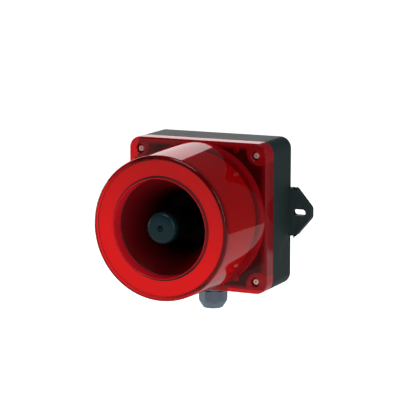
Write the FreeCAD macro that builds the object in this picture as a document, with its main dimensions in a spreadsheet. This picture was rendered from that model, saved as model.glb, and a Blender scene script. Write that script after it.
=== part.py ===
import FreeCAD, Part
import math
import os
import Sketcher

# Wall-mounted alarm siren: a square case with two slotted ears, a clear red cover that is also the
# beacon lens, a folded horn with its driver, an LED ring, a main board and a cable gland.
# X is right, Y runs into the wall, Z is up. The origin is the centre of the wall face, so a
# "depth" in front of the wall is a negative Y.

DIMENSIONS = {
    "case_width": 130.0,
    "case_depth": 40.0,
    "case_corner": 10.0,
    "case_wall": 3.5,
    "back_edge_round": 2.0,
    "ear_thickness": 7.5,
    "ear_shoulder": 72.0,
    "ear_reach": 86.0,
    "ear_root_height": 42.0,
    "ear_tip_height": 9.0,
    "slot_pitch": 150.0,
    "slot_length": 12.5,
    "slot_width": 5.5,
    "gasket_width": 1.5,
    "gasket_inset": 1.0,
    "screw_offset": 54.5,
    "post_radius": 7.2,
    "insert_radius": 2.3,
    "insert_start": 33.5,
    "insert_end": 39.5,
    "cover_depth": 55.0,
    "cover_wall": 3.0,
    "cover_edge_round": 1.6,
    "block_edge": 46.5,
    "block_round": 8.0,
    "counterbore_radius": 4.0,
    "counterbore_floor": 50.0,
    "screw_radius": 1.5,
    "screw_head_radius": 2.8,
    "lens_root_radius": 63.8,
    "lens_front_radius": 61.4,
    "lens_front_round": 3.0,
    "lens_wall": 2.5,
    "front_depth": 129.5,
    "mouth_radius": 41.9,
    "collar_back": 119.0,
    "ring_radius": 57.2,
    "ring_tooth": 0.9,
    "chassis_back": 36.5,
    "chassis_front": 39.0,
    "chassis_post_x": 30.0,
    "chassis_post_z": 56.0,
    "driver_hole": 24.3,
    "bell_bolts": 30.5,
    "driver_bolts": 27.0,
    "bell_base": 60.0,
    "bell_waist": 25.0,
    "bell_bowl": 8.0,
    "bell_flare": 84.6,
    "bell_mouth": 41.0,
    "bell_rim": 44.0,
    "bell_front": 117.5,
    "bell_wall": 2.0,
    "bowl_wall": 4.0,
    "bowl_hole": 9.0,
    "foot_radius": 34.0,
    "foot_height": 3.0,
    "tube_radius": 7.5,
    "throat_radius": 4.5,
    "tube_front": 112.0,
    "plug_radius": 13.3,
    "plug_wall": 1.5,
    "plug_back": 82.0,
    "plug_front": 127.5,
    "magnet_radius": 22.0,
    "magnet_back": 12.0,
    "board_back": 8.0,
    "board_front": 9.6,
    "board_width": 46.0,
    "board_screw_x": 41.0,
    "board_screw_top": 41.0,
    "board_screw_bottom": -31.0,
    "led_board_back": 60.0,
    "led_board_front": 61.6,
    "led_board_radius": 57.2,
    "led_circle": 50.0,
    "led_radius": 2.5,
    "led_post_circle": 44.0,
    "drum_radius": 57.0,
    "drum_front": 122.0,
    "gland_depth": 22.0,
    "gland_flats": 24.0,
    "gland_thread_radius": 10.0,
    "gland_bottom": 87.5,
    "cable_radius": 5.0,
}

LEDS = 18
RING_TEETH = 120
TERMINALS = 4
BOLTS_ON_A_CIRCLE = 3
BOLT_HOLE_RADIUS = 1.6
TERMINAL_X, TERMINAL_Z = 0.0, -31.0
TERMINAL_PITCH = 5.0
BUTTON_WIDTH = 3.4
SPEAKER_X, SPEAKER_Z = 34.0, 3.0
LED_LEAD_X, LED_LEAD_Z = 38.0, -12.0
CONNECTOR_HEIGHT = 7.0
LEAD_RADIUS = 0.75
RUNNING_CLEARANCE = 0.05

doc = FreeCAD.newDocument("AlarmSiren")
subparts = []


def make_sheet():
    """Fill the spreadsheet: a name in column A, its number in column B under the same alias."""
    sheet = doc.addObject("Spreadsheet::Sheet", "Dimensions")
    for row, (alias, number) in enumerate(DIMENSIONS.items(), start=1):
        sheet.set(f"A{row}", alias)
        sheet.set(f"B{row}", str(number))
        sheet.setAlias(f"B{row}", alias)
    doc.recompute()
    return sheet


def dim(alias, offset=0.0, factor=1.0):
    """A length taken from the sheet: its number now, and the expression that keeps it."""
    number = DIMENSIONS[alias] * factor + offset
    return number, f"Dimensions.{alias} * {factor:.9f} + {offset:.9f}"


def depth(alias, offset=0.0):
    """A Y coordinate that lies this far in front of the wall."""
    return dim(alias, -offset, -1.0)


def number_of(term):
    return term[0] if isinstance(term, tuple) else term


def bind(target, path, term):
    """Give a property its number, and its expression where the term has one."""
    if isinstance(term, tuple):
        target.setExpression(path, term[1])
    else:
        target.setExpression(path, f"{term:.9f}")


def new_body(label):
    body = doc.addObject("PartDesign::Body", label)
    body.Label = label
    return body


def keep(piece, label=None):
    """List a finished piece as a sub-part of the siren."""
    if label:
        piece.Label = label
    subparts.append(piece)
    return piece


def sketch_on(body, plane, offset=0.0):
    sketch = body.newObject("Sketcher::SketchObject", "Sketch")
    for feature in body.Origin.OriginFeatures:
        if feature.Role == plane:
            sketch.AttachmentSupport = (feature, [""])
    sketch.MapMode = "FlatFace"
    bind(sketch, "AttachmentOffset.Base.z", offset)
    return sketch


def pin(sketch, edge, end, x, y):
    """Fix one end of a sketch edge by its distances from the sketch origin."""
    for kind, term in (("DistanceX", x), ("DistanceY", y)):
        number = sketch.addConstraint(
            Sketcher.Constraint(kind, -1, 1, edge, end, number_of(term))
        )
        if isinstance(term, tuple):
            sketch.setExpression(f"Constraints[{number}]", term[1])


def arc_between(start, end, bend):
    """An arc of radius |bend|; positive keeps its centre on the left of the way from start to end."""
    middle = (start + end) * 0.5
    chord = end - start
    left = FreeCAD.Vector(-chord.y, chord.x, 0).normalize()
    reach = math.sqrt(max(bend * bend - chord.Length ** 2 / 4, 0.0))
    centre = middle + left * (reach if bend > 0 else -reach)
    first, last = (start, end) if bend > 0 else (end, start)
    angles = [math.atan2((p - centre).y, (p - centre).x) for p in (first, last)]
    circle = Part.Circle(centre, FreeCAD.Vector(0, 0, 1), abs(bend))
    return Part.ArcOfCircle(circle, angles[0], angles[1])


def outline(sketch, corners):
    """Draw a closed outline. Each corner is (x, y) or (x, y, bend), where bend curves the edge after it."""
    points = [FreeCAD.Vector(number_of(c[0]), number_of(c[1]), 0) for c in corners]
    bends = [c[2] if len(c) > 2 else None for c in corners]
    first_edge = sketch.GeometryCount
    count = len(corners)
    for i in range(count):
        start, end = points[i], points[(i + 1) % count]
        if bends[i] is None:
            sketch.addGeometry(Part.LineSegment(start, end), False)
        else:
            sketch.addGeometry(arc_between(start, end, number_of(bends[i])), False)
    for i in range(count):
        edge = first_edge + i
        after = first_edge + (i + 1) % count
        leaving = 1 if bends[i] is not None and number_of(bends[i]) < 0 else 2
        arriving = 2 if bends[(i + 1) % count] is not None and number_of(bends[(i + 1) % count]) < 0 else 1
        sketch.addConstraint(Sketcher.Constraint("Coincident", edge, leaving, after, arriving))
        pin(sketch, after, arriving, *corners[(i + 1) % count][:2])
        if bends[i] is not None:
            radius = sketch.addConstraint(
                Sketcher.Constraint("Radius", edge, abs(number_of(bends[i])))
            )
            if isinstance(bends[i], tuple) and number_of(bends[i]) > 0:
                sketch.setExpression(f"Constraints[{radius}]", bends[i][1])


def circle(sketch, x, y, radius):
    centre = FreeCAD.Vector(number_of(x), number_of(y), 0)
    edge = sketch.addGeometry(
        Part.Circle(centre, FreeCAD.Vector(0, 0, 1), number_of(radius)), False
    )
    pin(sketch, edge, 3, x, y)
    index = sketch.addConstraint(Sketcher.Constraint("Radius", edge, number_of(radius)))
    if isinstance(radius, tuple):
        sketch.setExpression(f"Constraints[{index}]", radius[1])


def rounded_square(sketch, half, corner):
    """A square centred on the origin, given by the terms for half its width and its corner radius."""
    reach, start = half, (number_of(half) - number_of(corner), f"({half[1]}) - ({corner[1]})")
    signs = ((1, 1), (-1, 1), (-1, -1), (1, -1))
    corners = []
    for turn, (sx, sy) in enumerate(signs):
        straight = signed(start, sx), signed(reach, sy)
        upright = signed(reach, sx), signed(start, sy)
        first, second = (upright, straight) if turn % 2 == 0 else (straight, upright)
        corners.append((*first, corner))
        corners.append(second)
    outline(sketch, corners)


def signed(term, sign):
    return sign * term[0], f"{sign} * ({term[1]})"


def rectangle(sketch, left, right, low, high):
    outline(sketch, [(left, low), (right, low), (right, high), (left, high)])


def grow(body, sketch, length):
    """Pad a sketch by a length, the way its plane faces."""
    pad = body.newObject("PartDesign::Pad", "Pad")
    pad.Profile = sketch
    bind(pad, "Length", length)
    body.Tip = pad
    doc.recompute()
    return pad


def cut(body, sketch, length, reverse=False):
    """Pocket a sketch by a length, against the way its plane faces unless reversed."""
    before = body.Shape.Volume
    pocket = body.newObject("PartDesign::Pocket", "Pocket")
    pocket.Profile = sketch
    bind(pocket, "Length", length)
    pocket.Reversed = reverse
    body.Tip = pocket
    doc.recompute()
    if not body.Shape.Volume < before:
        raise RuntimeError(f"{body.Label}: a pocket cuts nothing")
    return pocket


def slab(body, start, length, draw):
    """Pad what draw() sketches on a plane parallel to the wall, from a depth outwards."""
    sketch = sketch_on(body, "XZ_Plane", start)
    draw(sketch)
    return grow(body, sketch, length)


def between(low, high):
    """The length between two depths of the sheet."""
    return number_of(high) - number_of(low), f"({high[1]}) - ({low[1]})"


def turned(label, corners, plane="XY_Plane", at=(0.0, 0.0, 0.0)):
    """A body of revolution. The profile is (radius, height) on the plane, turned about its upright axis."""
    body = new_body(label)
    sketch = sketch_on(body, plane)
    outline(sketch, corners)
    revolution = body.newObject("PartDesign::Revolution", "Revolution")
    revolution.Profile = sketch
    revolution.ReferenceAxis = (sketch, ["V_Axis"])
    revolution.Angle = 360
    body.Tip = revolution
    place(body, at)
    doc.recompute()
    return body


def place(body, at):
    for axis, term in zip("xyz", at):
        if term != 0.0:
            bind(body, f"Placement.Base.{axis}", term)


def together(label, pieces):
    """Identical fasteners or components that share one node as separate solids."""
    group = doc.addObject("Part::Compound", label)
    group.Links = pieces
    return keep(group, label)


def corner_signs():
    return [(sx, sz) for sz in (1, -1) for sx in (-1, 1)]


def on_circle(alias, count, start_degrees=90.0):
    """The (x, z) terms of points spread evenly on a circle about the horn axis."""
    places = []
    for i in range(count):
        angle = math.radians(start_degrees + 360.0 * i / count)
        places.append((dim(alias, 0.0, math.cos(angle)), dim(alias, 0.0, math.sin(angle))))
    return places


def block(label, centre, size, start, height):
    """A plain component body on the main board: centre (x, z), size (x, z), from a depth outwards."""
    body = new_body(label)
    half_x, half_z = size[0] / 2, size[1] / 2

    def draw(sketch):
        rectangle(sketch, centre[0] - half_x, centre[0] + half_x, centre[1] - half_z, centre[1] + half_z)

    slab(body, start, height, draw)
    return body


# ---------------------------------------------------------------- case

def base_housing():
    body = new_body("base_housing")
    half = dim("case_width", 0.0, 0.5)
    corner = dim("case_corner")
    inner_half = dim("case_width", -DIMENSIONS["case_wall"], 0.5)
    inner_corner = dim("case_corner", -DIMENSIONS["case_wall"])
    groove_depth = DIMENSIONS["gasket_width"]
    inset = DIMENSIONS["gasket_inset"]

    def ring(outer, inner):
        def draw(sketch):
            rounded_square(sketch, *outer)
            rounded_square(sketch, *inner)
        return draw

    slab(body, 0.0, dim("case_wall"), lambda s: rounded_square(s, half, corner))
    slab(body, dim("case_wall"), between(dim("case_wall"), dim("case_depth", -groove_depth)),
         ring((half, corner), (inner_half, inner_corner)))
    outer_land = dim("case_width", -inset, 0.5), dim("case_corner", -inset)
    inner_land = (dim("case_width", -inset - groove_depth, 0.5), dim("case_corner", -inset - groove_depth))
    slab(body, dim("case_depth", -groove_depth), groove_depth, ring((half, corner), outer_land))
    slab(body, dim("case_depth", -groove_depth), groove_depth, ring(inner_land, (inner_half, inner_corner)))
    slab(body, 0.0, dim("ear_thickness"), ears)
    slab(body, dim("case_wall"), between(dim("case_wall"), dim("insert_start", -2.5)),
         lambda s: at_corners(s, dim("post_radius")))

    def post_top(hole):
        def draw(sketch):
            at_corners(sketch, dim("post_radius"))
            at_corners(sketch, hole)
        return draw

    slab(body, dim("insert_start", -2.5), 2.5, post_top(dim("screw_radius", 0.3)))
    slab(body, dim("insert_start"), between(dim("insert_start"), dim("insert_end")),
         post_top(dim("insert_radius")))
    slab(body, dim("case_wall"), between(dim("case_wall"), dim("chassis_back")), chassis_posts)
    slab(body, dim("case_wall"), between(dim("case_wall"), dim("board_back")), board_posts)
    round_back_edge(body)
    entry = sketch_on(body, "XY_Plane")
    circle(entry, 0.0, depth("gland_depth"), dim("gland_thread_radius"))
    cut(body, entry, dim("case_width", 0.0, 0.5))
    return keep(body)


def ears(sketch):
    """The two wall ears, each with an obround slot along X."""
    root = dim("ear_root_height", 0.0, 0.5)
    tip = dim("ear_tip_height", 0.0, 0.5)
    inside = dim("case_width", -1.0, 0.5)
    radius = dim("slot_width", 0.0, 0.5)
    straight = (DIMENSIONS["slot_length"] - DIMENSIONS["slot_width"]) / 2
    for side in (1, -1):
        upper = [(inside, root), (dim("ear_shoulder"), root), (dim("ear_reach"), tip)]
        upper = [(signed(x, side), z) for x, z in upper]
        lower = [(x, signed(z, -1)) for x, z in reversed(upper)]
        outline(sketch, upper + lower)
        left, right = dim("slot_pitch", -straight, side / 2), dim("slot_pitch", straight, side / 2)
        left_end = dim("slot_pitch", -DIMENSIONS["slot_length"] / 2, side / 2)
        right_end = dim("slot_pitch", DIMENSIONS["slot_length"] / 2, side / 2)
        outline(sketch, [
            (left, signed(radius, -1)),
            (right, signed(radius, -1), radius),
            (right_end, 0.0, radius),
            (right, radius),
            (left, radius, radius),
            (left_end, 0.0, radius),
        ])


def at_corners(sketch, radius):
    for sx, sz in corner_signs():
        circle(sketch, dim("screw_offset", 0.0, sx), dim("screw_offset", 0.0, sz), radius)


def chassis_posts(sketch):
    for sx, sz in corner_signs():
        x, z = dim("chassis_post_x", 0.0, sx), dim("chassis_post_z", 0.0, sz)
        circle(sketch, x, z, 4.0)
        circle(sketch, x, z, dim("screw_radius", -0.1))


def board_posts(sketch):
    for x, z in board_screw_places():
        circle(sketch, x, z, 3.5)
        circle(sketch, x, z, dim("screw_radius", -0.25))


def board_screw_places():
    return [(dim("board_screw_x", 0.0, sx), dim(row))
            for row in ("board_screw_top", "board_screw_bottom") for sx in (-1, 1)]


def round_back_edge(body):
    """Round the outer edge of the wall face, between the ears and round the corners."""
    half = DIMENSIONS["case_width"] / 2
    root = DIMENSIONS["ear_root_height"] / 2
    names = []
    for number, edge in enumerate(body.Shape.Edges, start=1):
        box = edge.BoundBox
        on_wall_face = abs(box.YMin) < 1e-6 and abs(box.YMax) < 1e-6
        middle = edge.valueAt((edge.FirstParameter + edge.LastParameter) / 2)
        outer = max(abs(middle.x), abs(middle.z)) > half - DIMENSIONS["case_corner"]
        if on_wall_face and outer and abs(middle.z) > root + 1 and abs(middle.x) < half + 1:
            names.append(f"Edge{number}")
    base = body.Tip
    fillet = body.newObject("PartDesign::Fillet", "BackEdge")
    fillet.Base = (base, names)
    bind(fillet, "Radius", dim("back_edge_round"))
    body.Tip = fillet
    doc.recompute()


def threaded_inserts():
    pieces = []
    for sx, sz in corner_signs():
        pieces.append(turned("insert", [
            (dim("screw_radius", RUNNING_CLEARANCE), depth("insert_end")),
            (dim("insert_radius"), depth("insert_end")),
            (dim("insert_radius"), depth("insert_start")),
            (dim("screw_radius", RUNNING_CLEARANCE), depth("insert_start")),
        ], at=(dim("screw_offset", 0.0, sx), 0.0, dim("screw_offset", 0.0, sz))))
    return together("threaded_inserts", pieces)


def cover_gasket():
    body = new_body("cover_gasket")
    inset, width = DIMENSIONS["gasket_inset"], DIMENSIONS["gasket_width"]

    def draw(sketch):
        rounded_square(sketch, dim("case_width", -inset, 0.5), dim("case_corner", -inset))
        rounded_square(sketch, dim("case_width", -inset - width, 0.5), dim("case_corner", -inset - width))

    slab(body, dim("case_depth", -width), dim("gasket_width"), draw)
    return keep(body)


def chassis_plate():
    body = new_body("chassis_plate")
    edge = dim("case_width", -DIMENSIONS["case_wall"] - 0.5, 0.5)
    notch = dim("screw_offset", -9.0)
    centre = dim("screw_offset")

    def draw(sketch):
        outline(sketch, [
            (edge, signed(notch, -1)), (edge, notch),
            (centre, notch, -9.0), (notch, centre),
            (notch, edge), (signed(notch, -1), edge),
            (signed(notch, -1), centre, -9.0), (signed(centre, -1), notch),
            (signed(edge, -1), notch), (signed(edge, -1), signed(notch, -1)),
            (signed(centre, -1), signed(notch, -1), -9.0), (signed(notch, -1), signed(centre, -1)),
            (signed(notch, -1), signed(edge, -1)), (notch, signed(edge, -1)),
            (notch, signed(centre, -1), -9.0), (centre, signed(notch, -1)),
        ])
        circle(sketch, 0.0, 0.0, dim("driver_hole"))
        for sx, sz in corner_signs():
            circle(sketch, dim("chassis_post_x", 0.0, sx), dim("chassis_post_z", 0.0, sz), 1.6)
        for x, z in on_circle("bell_bolts", BOLTS_ON_A_CIRCLE):
            circle(sketch, x, z, 1.25)
        for x, z in on_circle("driver_bolts", BOLTS_ON_A_CIRCLE, 30.0):
            circle(sketch, x, z, 1.25)
        circle(sketch, LED_LEAD_X, LED_LEAD_Z, 5.0)

    slab(body, dim("chassis_back"), between(dim("chassis_back"), dim("chassis_front")), draw)

    def posts(sketch):
        for x, z in on_circle("led_post_circle", BOLTS_ON_A_CIRCLE, 45.0):
            circle(sketch, x, z, 3.0)
            circle(sketch, x, z, 1.25)

    slab(body, dim("chassis_front", -0.5), between(dim("chassis_front", -0.5), dim("led_board_back")), posts)
    return keep(body)


def pan_screw(label, head_radius, head_back, head_height, tip, shank_radius, at):
    """A pan-head screw along -Y with a cross recess. Depths count from the wall."""
    top = head_back + head_height
    body = turned(label, [
        (0.0, -tip),
        (shank_radius, -tip),
        (shank_radius, -head_back),
        (head_radius, -head_back),
        (head_radius, -(top - head_height * 0.45), -head_height * 0.45),
        (head_radius - head_height * 0.45, -top),
        (0.0, -top),
    ], at=at)
    half_width, reach = head_radius * 0.13, head_radius * 0.55
    recess = sketch_on(body, "XZ_Plane", top)
    outline(recess, [
        (half_width, -reach), (half_width, -half_width), (reach, -half_width), (reach, half_width),
        (half_width, half_width), (half_width, reach), (-half_width, reach), (-half_width, half_width),
        (-reach, half_width), (-reach, -half_width), (-half_width, -half_width), (-half_width, -reach),
    ])
    cut(body, recess, head_height * 0.55)
    return body


def fasteners(label, places, head_radius, head_back, head_height, tip, shank_radius):
    pieces = [pan_screw("screw", head_radius, head_back, head_height, tip, shank_radius, (x, 0.0, z))
              for x, z in places]
    return together(label, pieces)


# ---------------------------------------------------------------- cover and beacon

def lens_cover():
    body = new_body("lens_cover")
    half, corner = dim("case_width", 0.0, 0.5), dim("case_corner")
    wall = DIMENSIONS["cover_wall"]
    inner = dim("case_width", -wall, 0.5), dim("case_corner", -wall)
    inner_face = dim("cover_depth", -wall)

    def rim(sketch):
        rounded_square(sketch, half, corner)
        rounded_square(sketch, *inner)

    def face(sketch):
        rounded_square(sketch, half, corner)
        circle(sketch, 0.0, 0.0, dim("lens_root_radius", -DIMENSIONS["lens_wall"]))
        at_corners(sketch, dim("counterbore_radius"))

    def blocks(hole):
        def draw(sketch):
            for sx, sz in corner_signs():
                screw_block(sketch, sx, sz)
                circle(sketch, dim("screw_offset", 0.0, sx), dim("screw_offset", 0.0, sz), hole)
        return draw

    slab(body, dim("case_depth"), between(dim("case_depth"), inner_face), rim)
    slab(body, inner_face, dim("cover_wall"), face)
    slab(body, dim("case_depth"), between(dim("case_depth"), dim("counterbore_floor")),
         blocks(dim("screw_radius", 0.2)))
    slab(body, dim("counterbore_floor"), between(dim("counterbore_floor"), inner_face),
         blocks(dim("counterbore_radius")))
    round_front_edge(body)
    return keep(body)


def beacon_lens():
    """The round lens on the cover: its tapered side, its front, and the collar of the horn's mouth."""
    thickness = DIMENSIONS["lens_wall"]
    front_round = DIMENSIONS["lens_front_round"]
    collar_wall, collar_draft = 2.0, 0.7
    return keep(turned("beacon_lens", [
        (dim("lens_root_radius", -thickness), depth("cover_depth")),
        (dim("lens_root_radius"), depth("cover_depth")),
        (dim("lens_front_radius"), depth("front_depth", -front_round), -front_round),
        (dim("lens_front_radius", -front_round), depth("front_depth")),
        (dim("mouth_radius"), depth("front_depth")),
        (dim("mouth_radius", -collar_draft), depth("collar_back")),
        (dim("mouth_radius", collar_wall - collar_draft), depth("collar_back")),
        (dim("mouth_radius", collar_wall), depth("front_depth", -thickness)),
        (dim("lens_front_radius", -thickness), depth("front_depth", -thickness)),
    ]))


def screw_block(sketch, sx, sz):
    """The solid corner block that carries a cover screw, rounded on the side of the lens."""
    near, middle = dim("block_edge"), dim("screw_offset")
    far = dim("case_width", -DIMENSIONS["cover_wall"] + 0.5, 0.5)
    bend_start = dim("case_width", -DIMENSIONS["case_corner"], 0.5)
    far_round = DIMENSIONS["case_corner"] - DIMENSIONS["cover_wall"] + 0.5
    near_round = DIMENSIONS["block_round"]
    turn = sx * sz
    corners = [
        (near, far), (near, middle, near_round * turn), (middle, near),
        (far, near), (far, bend_start, far_round * turn), (bend_start, far),
    ]
    outline(sketch, [(signed(c[0], sx), signed(c[1], sz), *c[2:]) for c in corners])


def round_front_edge(body):
    """Round the outer edge of the cover's front face."""
    reach = DIMENSIONS["case_width"] / 2
    names = []
    for number, edge in enumerate(body.Shape.Edges, start=1):
        box = edge.BoundBox
        middle = edge.valueAt((edge.FirstParameter + edge.LastParameter) / 2)
        at_front = abs(box.YMin + DIMENSIONS["cover_depth"]) < 1e-6 and box.YMax - box.YMin < 1e-6
        corner_centre = reach - DIMENSIONS["case_corner"]
        past = math.hypot(max(abs(middle.x) - corner_centre, 0), max(abs(middle.z) - corner_centre, 0))
        if at_front and abs(past - DIMENSIONS["case_corner"]) < 1e-3:
            names.append(f"Edge{number}")
    base = body.Tip
    fillet = body.newObject("PartDesign::Fillet", "FrontEdge")
    fillet.Base = (base, names)
    bind(fillet, "Radius", dim("cover_edge_round"))
    body.Tip = fillet
    doc.recompute()


def light_ring(sheet):
    """The pale reflector behind the front ring, with a fine toothed edge."""
    root, tooth = sheet.ring_radius, sheet.ring_tooth
    points = []
    for i in range(RING_TEETH):
        for part, radius in ((0.0, root), (0.5, root + tooth)):
            angle = 2 * math.pi * (i + part) / RING_TEETH
            points.append(FreeCAD.Vector(radius * math.cos(angle), 0, radius * math.sin(angle)))
    edge = Part.Face(Part.makePolygon(points + points[:1]))
    thickness = 2.0
    disc = edge.extrude(FreeCAD.Vector(0, thickness, 0))
    hole = Part.makeCylinder(sheet.mouth_radius + 2.4, thickness, FreeCAD.Vector(), FreeCAD.Vector(0, 1, 0))
    ring = doc.addObject("Part::Feature", "light_ring")
    ring.Shape = disc.cut(hole)
    ring.Placement.Base.y = -(sheet.front_depth - sheet.lens_wall)
    return keep(ring, "light_ring")


def cover_screw_pieces():
    floor = DIMENSIONS["counterbore_floor"]
    washer = 0.8
    for number, (sx, sz) in enumerate(corner_signs(), start=1):
        at = dim("screw_offset", 0.0, sx), 0.0, dim("screw_offset", 0.0, sz)
        keep(turned(f"screw_seal_{number}", [
            (dim("screw_radius", RUNNING_CLEARANCE), depth("counterbore_floor", washer)),
            (dim("counterbore_radius", -0.4), depth("counterbore_floor", washer)),
            (dim("counterbore_radius", -0.4), depth("counterbore_floor")),
            (dim("screw_radius", RUNNING_CLEARANCE), depth("counterbore_floor")),
        ], at=at))
        keep(pan_screw(f"cover_screw_{number}", DIMENSIONS["screw_head_radius"], floor + washer, 2.4,
                       DIMENSIONS["insert_start"] + 1.3, DIMENSIONS["screw_radius"], at))


def led_board():
    body = new_body("led_board")

    def draw(sketch):
        circle(sketch, 0.0, 0.0, dim("led_board_radius"))
        circle(sketch, 0.0, 0.0, dim("bell_waist", 5.0))
        for x, z in on_circle("led_post_circle", BOLTS_ON_A_CIRCLE, 45.0):
            circle(sketch, x, z, 1.6)

    slab(body, dim("led_board_back"), between(dim("led_board_back"), dim("led_board_front")), draw)
    return keep(body)


def beacon_leds():
    pieces = []
    height = 8.0
    radius = DIMENSIONS["led_radius"]
    for x, z in on_circle("led_circle", LEDS, 0.0):
        pieces.append(turned("led", [
            (0.0, depth("led_board_front")),
            (radius + 0.4, depth("led_board_front")),
            (radius + 0.4, depth("led_board_front", 1.0)),
            (radius, depth("led_board_front", 1.0)),
            (radius, depth("led_board_front", height - radius), -radius),
            (0.0, depth("led_board_front", height)),
        ], at=(x, 0.0, z)))
    return together("beacon_leds", pieces)


def diffuser_drum():
    """The opal drum round the horn that spreads the beacon light."""
    return keep(turned("diffuser_drum", [
        (dim("drum_radius", -1.5), depth("drum_front")),
        (dim("drum_radius"), depth("drum_front")),
        (dim("drum_radius"), depth("led_board_front")),
        (dim("drum_radius", -3.6), depth("led_board_front")),
        (dim("drum_radius", -3.6), depth("led_board_front", 1.5)),
        (dim("drum_radius", -1.5), depth("led_board_front", 1.5)),
    ]))


# ---------------------------------------------------------------- horn and driver

def horn_base():
    """The bowl that turns the sound forward, its spigot over the driver, and the foot on the chassis."""
    wall, waist, bowl = DIMENSIONS["bell_wall"], DIMENSIONS["bell_waist"], DIMENSIONS["bell_bowl"]
    foot_front = dim("chassis_front", DIMENSIONS["foot_height"])
    spigot_front = DIMENSIONS["bell_base"] - DIMENSIONS["bowl_wall"]
    body = turned("horn_base", [
        (dim("bowl_hole"), depth("bell_base")),
        (dim("bowl_hole"), -spigot_front),
        (dim("driver_hole", 0.2), -spigot_front),
        (dim("driver_hole", 0.2), depth("chassis_front")),
        (dim("foot_radius"), depth("chassis_front")),
        (dim("foot_radius"), -number_of(foot_front)),
        (dim("bell_waist", wall), -number_of(foot_front)),
        (dim("bell_waist", wall), depth("bell_base", bowl)),
        (dim("bell_waist"), depth("bell_base", bowl), bowl),
        (waist - bowl, depth("bell_base")),
    ])
    bolts = sketch_on(body, "XZ_Plane", number_of(foot_front))
    for x, z in on_circle("bell_bolts", BOLTS_ON_A_CIRCLE):
        circle(bolts, x, z, BOLT_HOLE_RADIUS)
    cut(body, bolts, DIMENSIONS["foot_height"])
    return keep(body)


def horn_bell():
    """The flared bell between the bowl and the mouth, with the rim that carries the mouth seal."""
    wall, flare, waist = DIMENSIONS["bell_wall"], DIMENSIONS["bell_flare"], DIMENSIONS["bell_waist"]
    start = DIMENSIONS["bell_base"] + DIMENSIONS["bell_bowl"]
    front = DIMENSIONS["bell_front"]
    centre = waist + flare
    mouth = centre - math.sqrt(flare ** 2 - (front - start) ** 2)
    under_rim = centre - math.sqrt((flare - wall) ** 2 - (front - wall - start) ** 2)
    return keep(turned("horn_bell", [
        (dim("bell_waist", wall), -start, flare - wall),
        (under_rim, -(front - wall)),
        (dim("bell_rim"), depth("bell_front", -wall)),
        (dim("bell_rim"), depth("bell_front")),
        (mouth, -front, -flare),
        (dim("bell_waist"), -start),
    ]))


def mouth_seal():
    return keep(turned("mouth_seal", [
        (dim("bell_mouth", 0.3), depth("collar_back")),
        (dim("bell_rim", -0.6), depth("collar_back")),
        (dim("bell_rim"), depth("bell_front")),
        (dim("bell_mouth"), depth("bell_front")),
    ]))


def tone_tube():
    """The tube that carries the sound forward, with a three-arm bridge that holds the reflector."""
    body = turned("tone_tube", [
        (dim("throat_radius"), -50.0),
        (12.0, -50.0),
        (12.0, -56.0),
        (9.0, -56.0),
        (9.0, depth("bell_base")),
        (dim("tube_radius"), depth("bell_base", 2.0)),
        (dim("tube_radius"), depth("tube_front")),
        (dim("tube_radius", -1.5), depth("tube_front")),
    ])

    def arm(sketch):
        rectangle(sketch, -0.7, 0.7, 1.5, dim("tube_radius", -1.0))

    pad = slab(body, dim("tube_front", -4.0), 2.5, arm)
    pattern = body.newObject("PartDesign::PolarPattern", "Arms")
    pattern.Originals = [pad]
    for feature in body.Origin.OriginFeatures:
        if feature.Role == "Y_Axis":
            pattern.Axis = (feature, [""])
    pattern.Angle = 360
    pattern.Occurrences = BOLTS_ON_A_CIRCLE
    body.Tip = pattern

    def hub(sketch):
        circle(sketch, 0.0, 0.0, 2.4)
        circle(sketch, 0.0, 0.0, 1.25)

    slab(body, dim("tube_front", -5.0), 11.0, hub)
    return keep(body)


def horn_reflector():
    """The domed centre plug that turns the sound back towards the bell."""
    front = DIMENSIONS["plug_front"]
    turn_start = DIMENSIONS["tube_front"] + 6.0
    outer, wall = DIMENSIONS["plug_radius"], DIMENSIONS["plug_wall"]
    inner = outer - wall
    boss = 3.2
    edge_round = 4.5
    turn_radius = (inner - boss) / 2
    return keep(turned("horn_reflector", [
        (dim("plug_radius", -wall), depth("plug_back")),
        (dim("plug_radius"), depth("plug_back")),
        (dim("plug_radius"), -(front - edge_round - 0.5), -edge_round),
        (outer - edge_round, -(front - 0.5)),
        (2.6, -front),
        (2.3, -(front - 1.2)),
        (1.3, -(front - 1.2)),
        (1.3, -turn_start),
        (boss, -turn_start, turn_radius),
        (boss + turn_radius, -(turn_start + turn_radius), turn_radius),
        (dim("plug_radius", -wall), -turn_start),
    ]))


def reflector_screw():
    front = DIMENSIONS["plug_front"]
    return keep(pan_screw("reflector_screw", 2.2, front - 1.2, 1.0, front - 15.0, 1.25, (0.0, 0.0, 0.0)))


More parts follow.
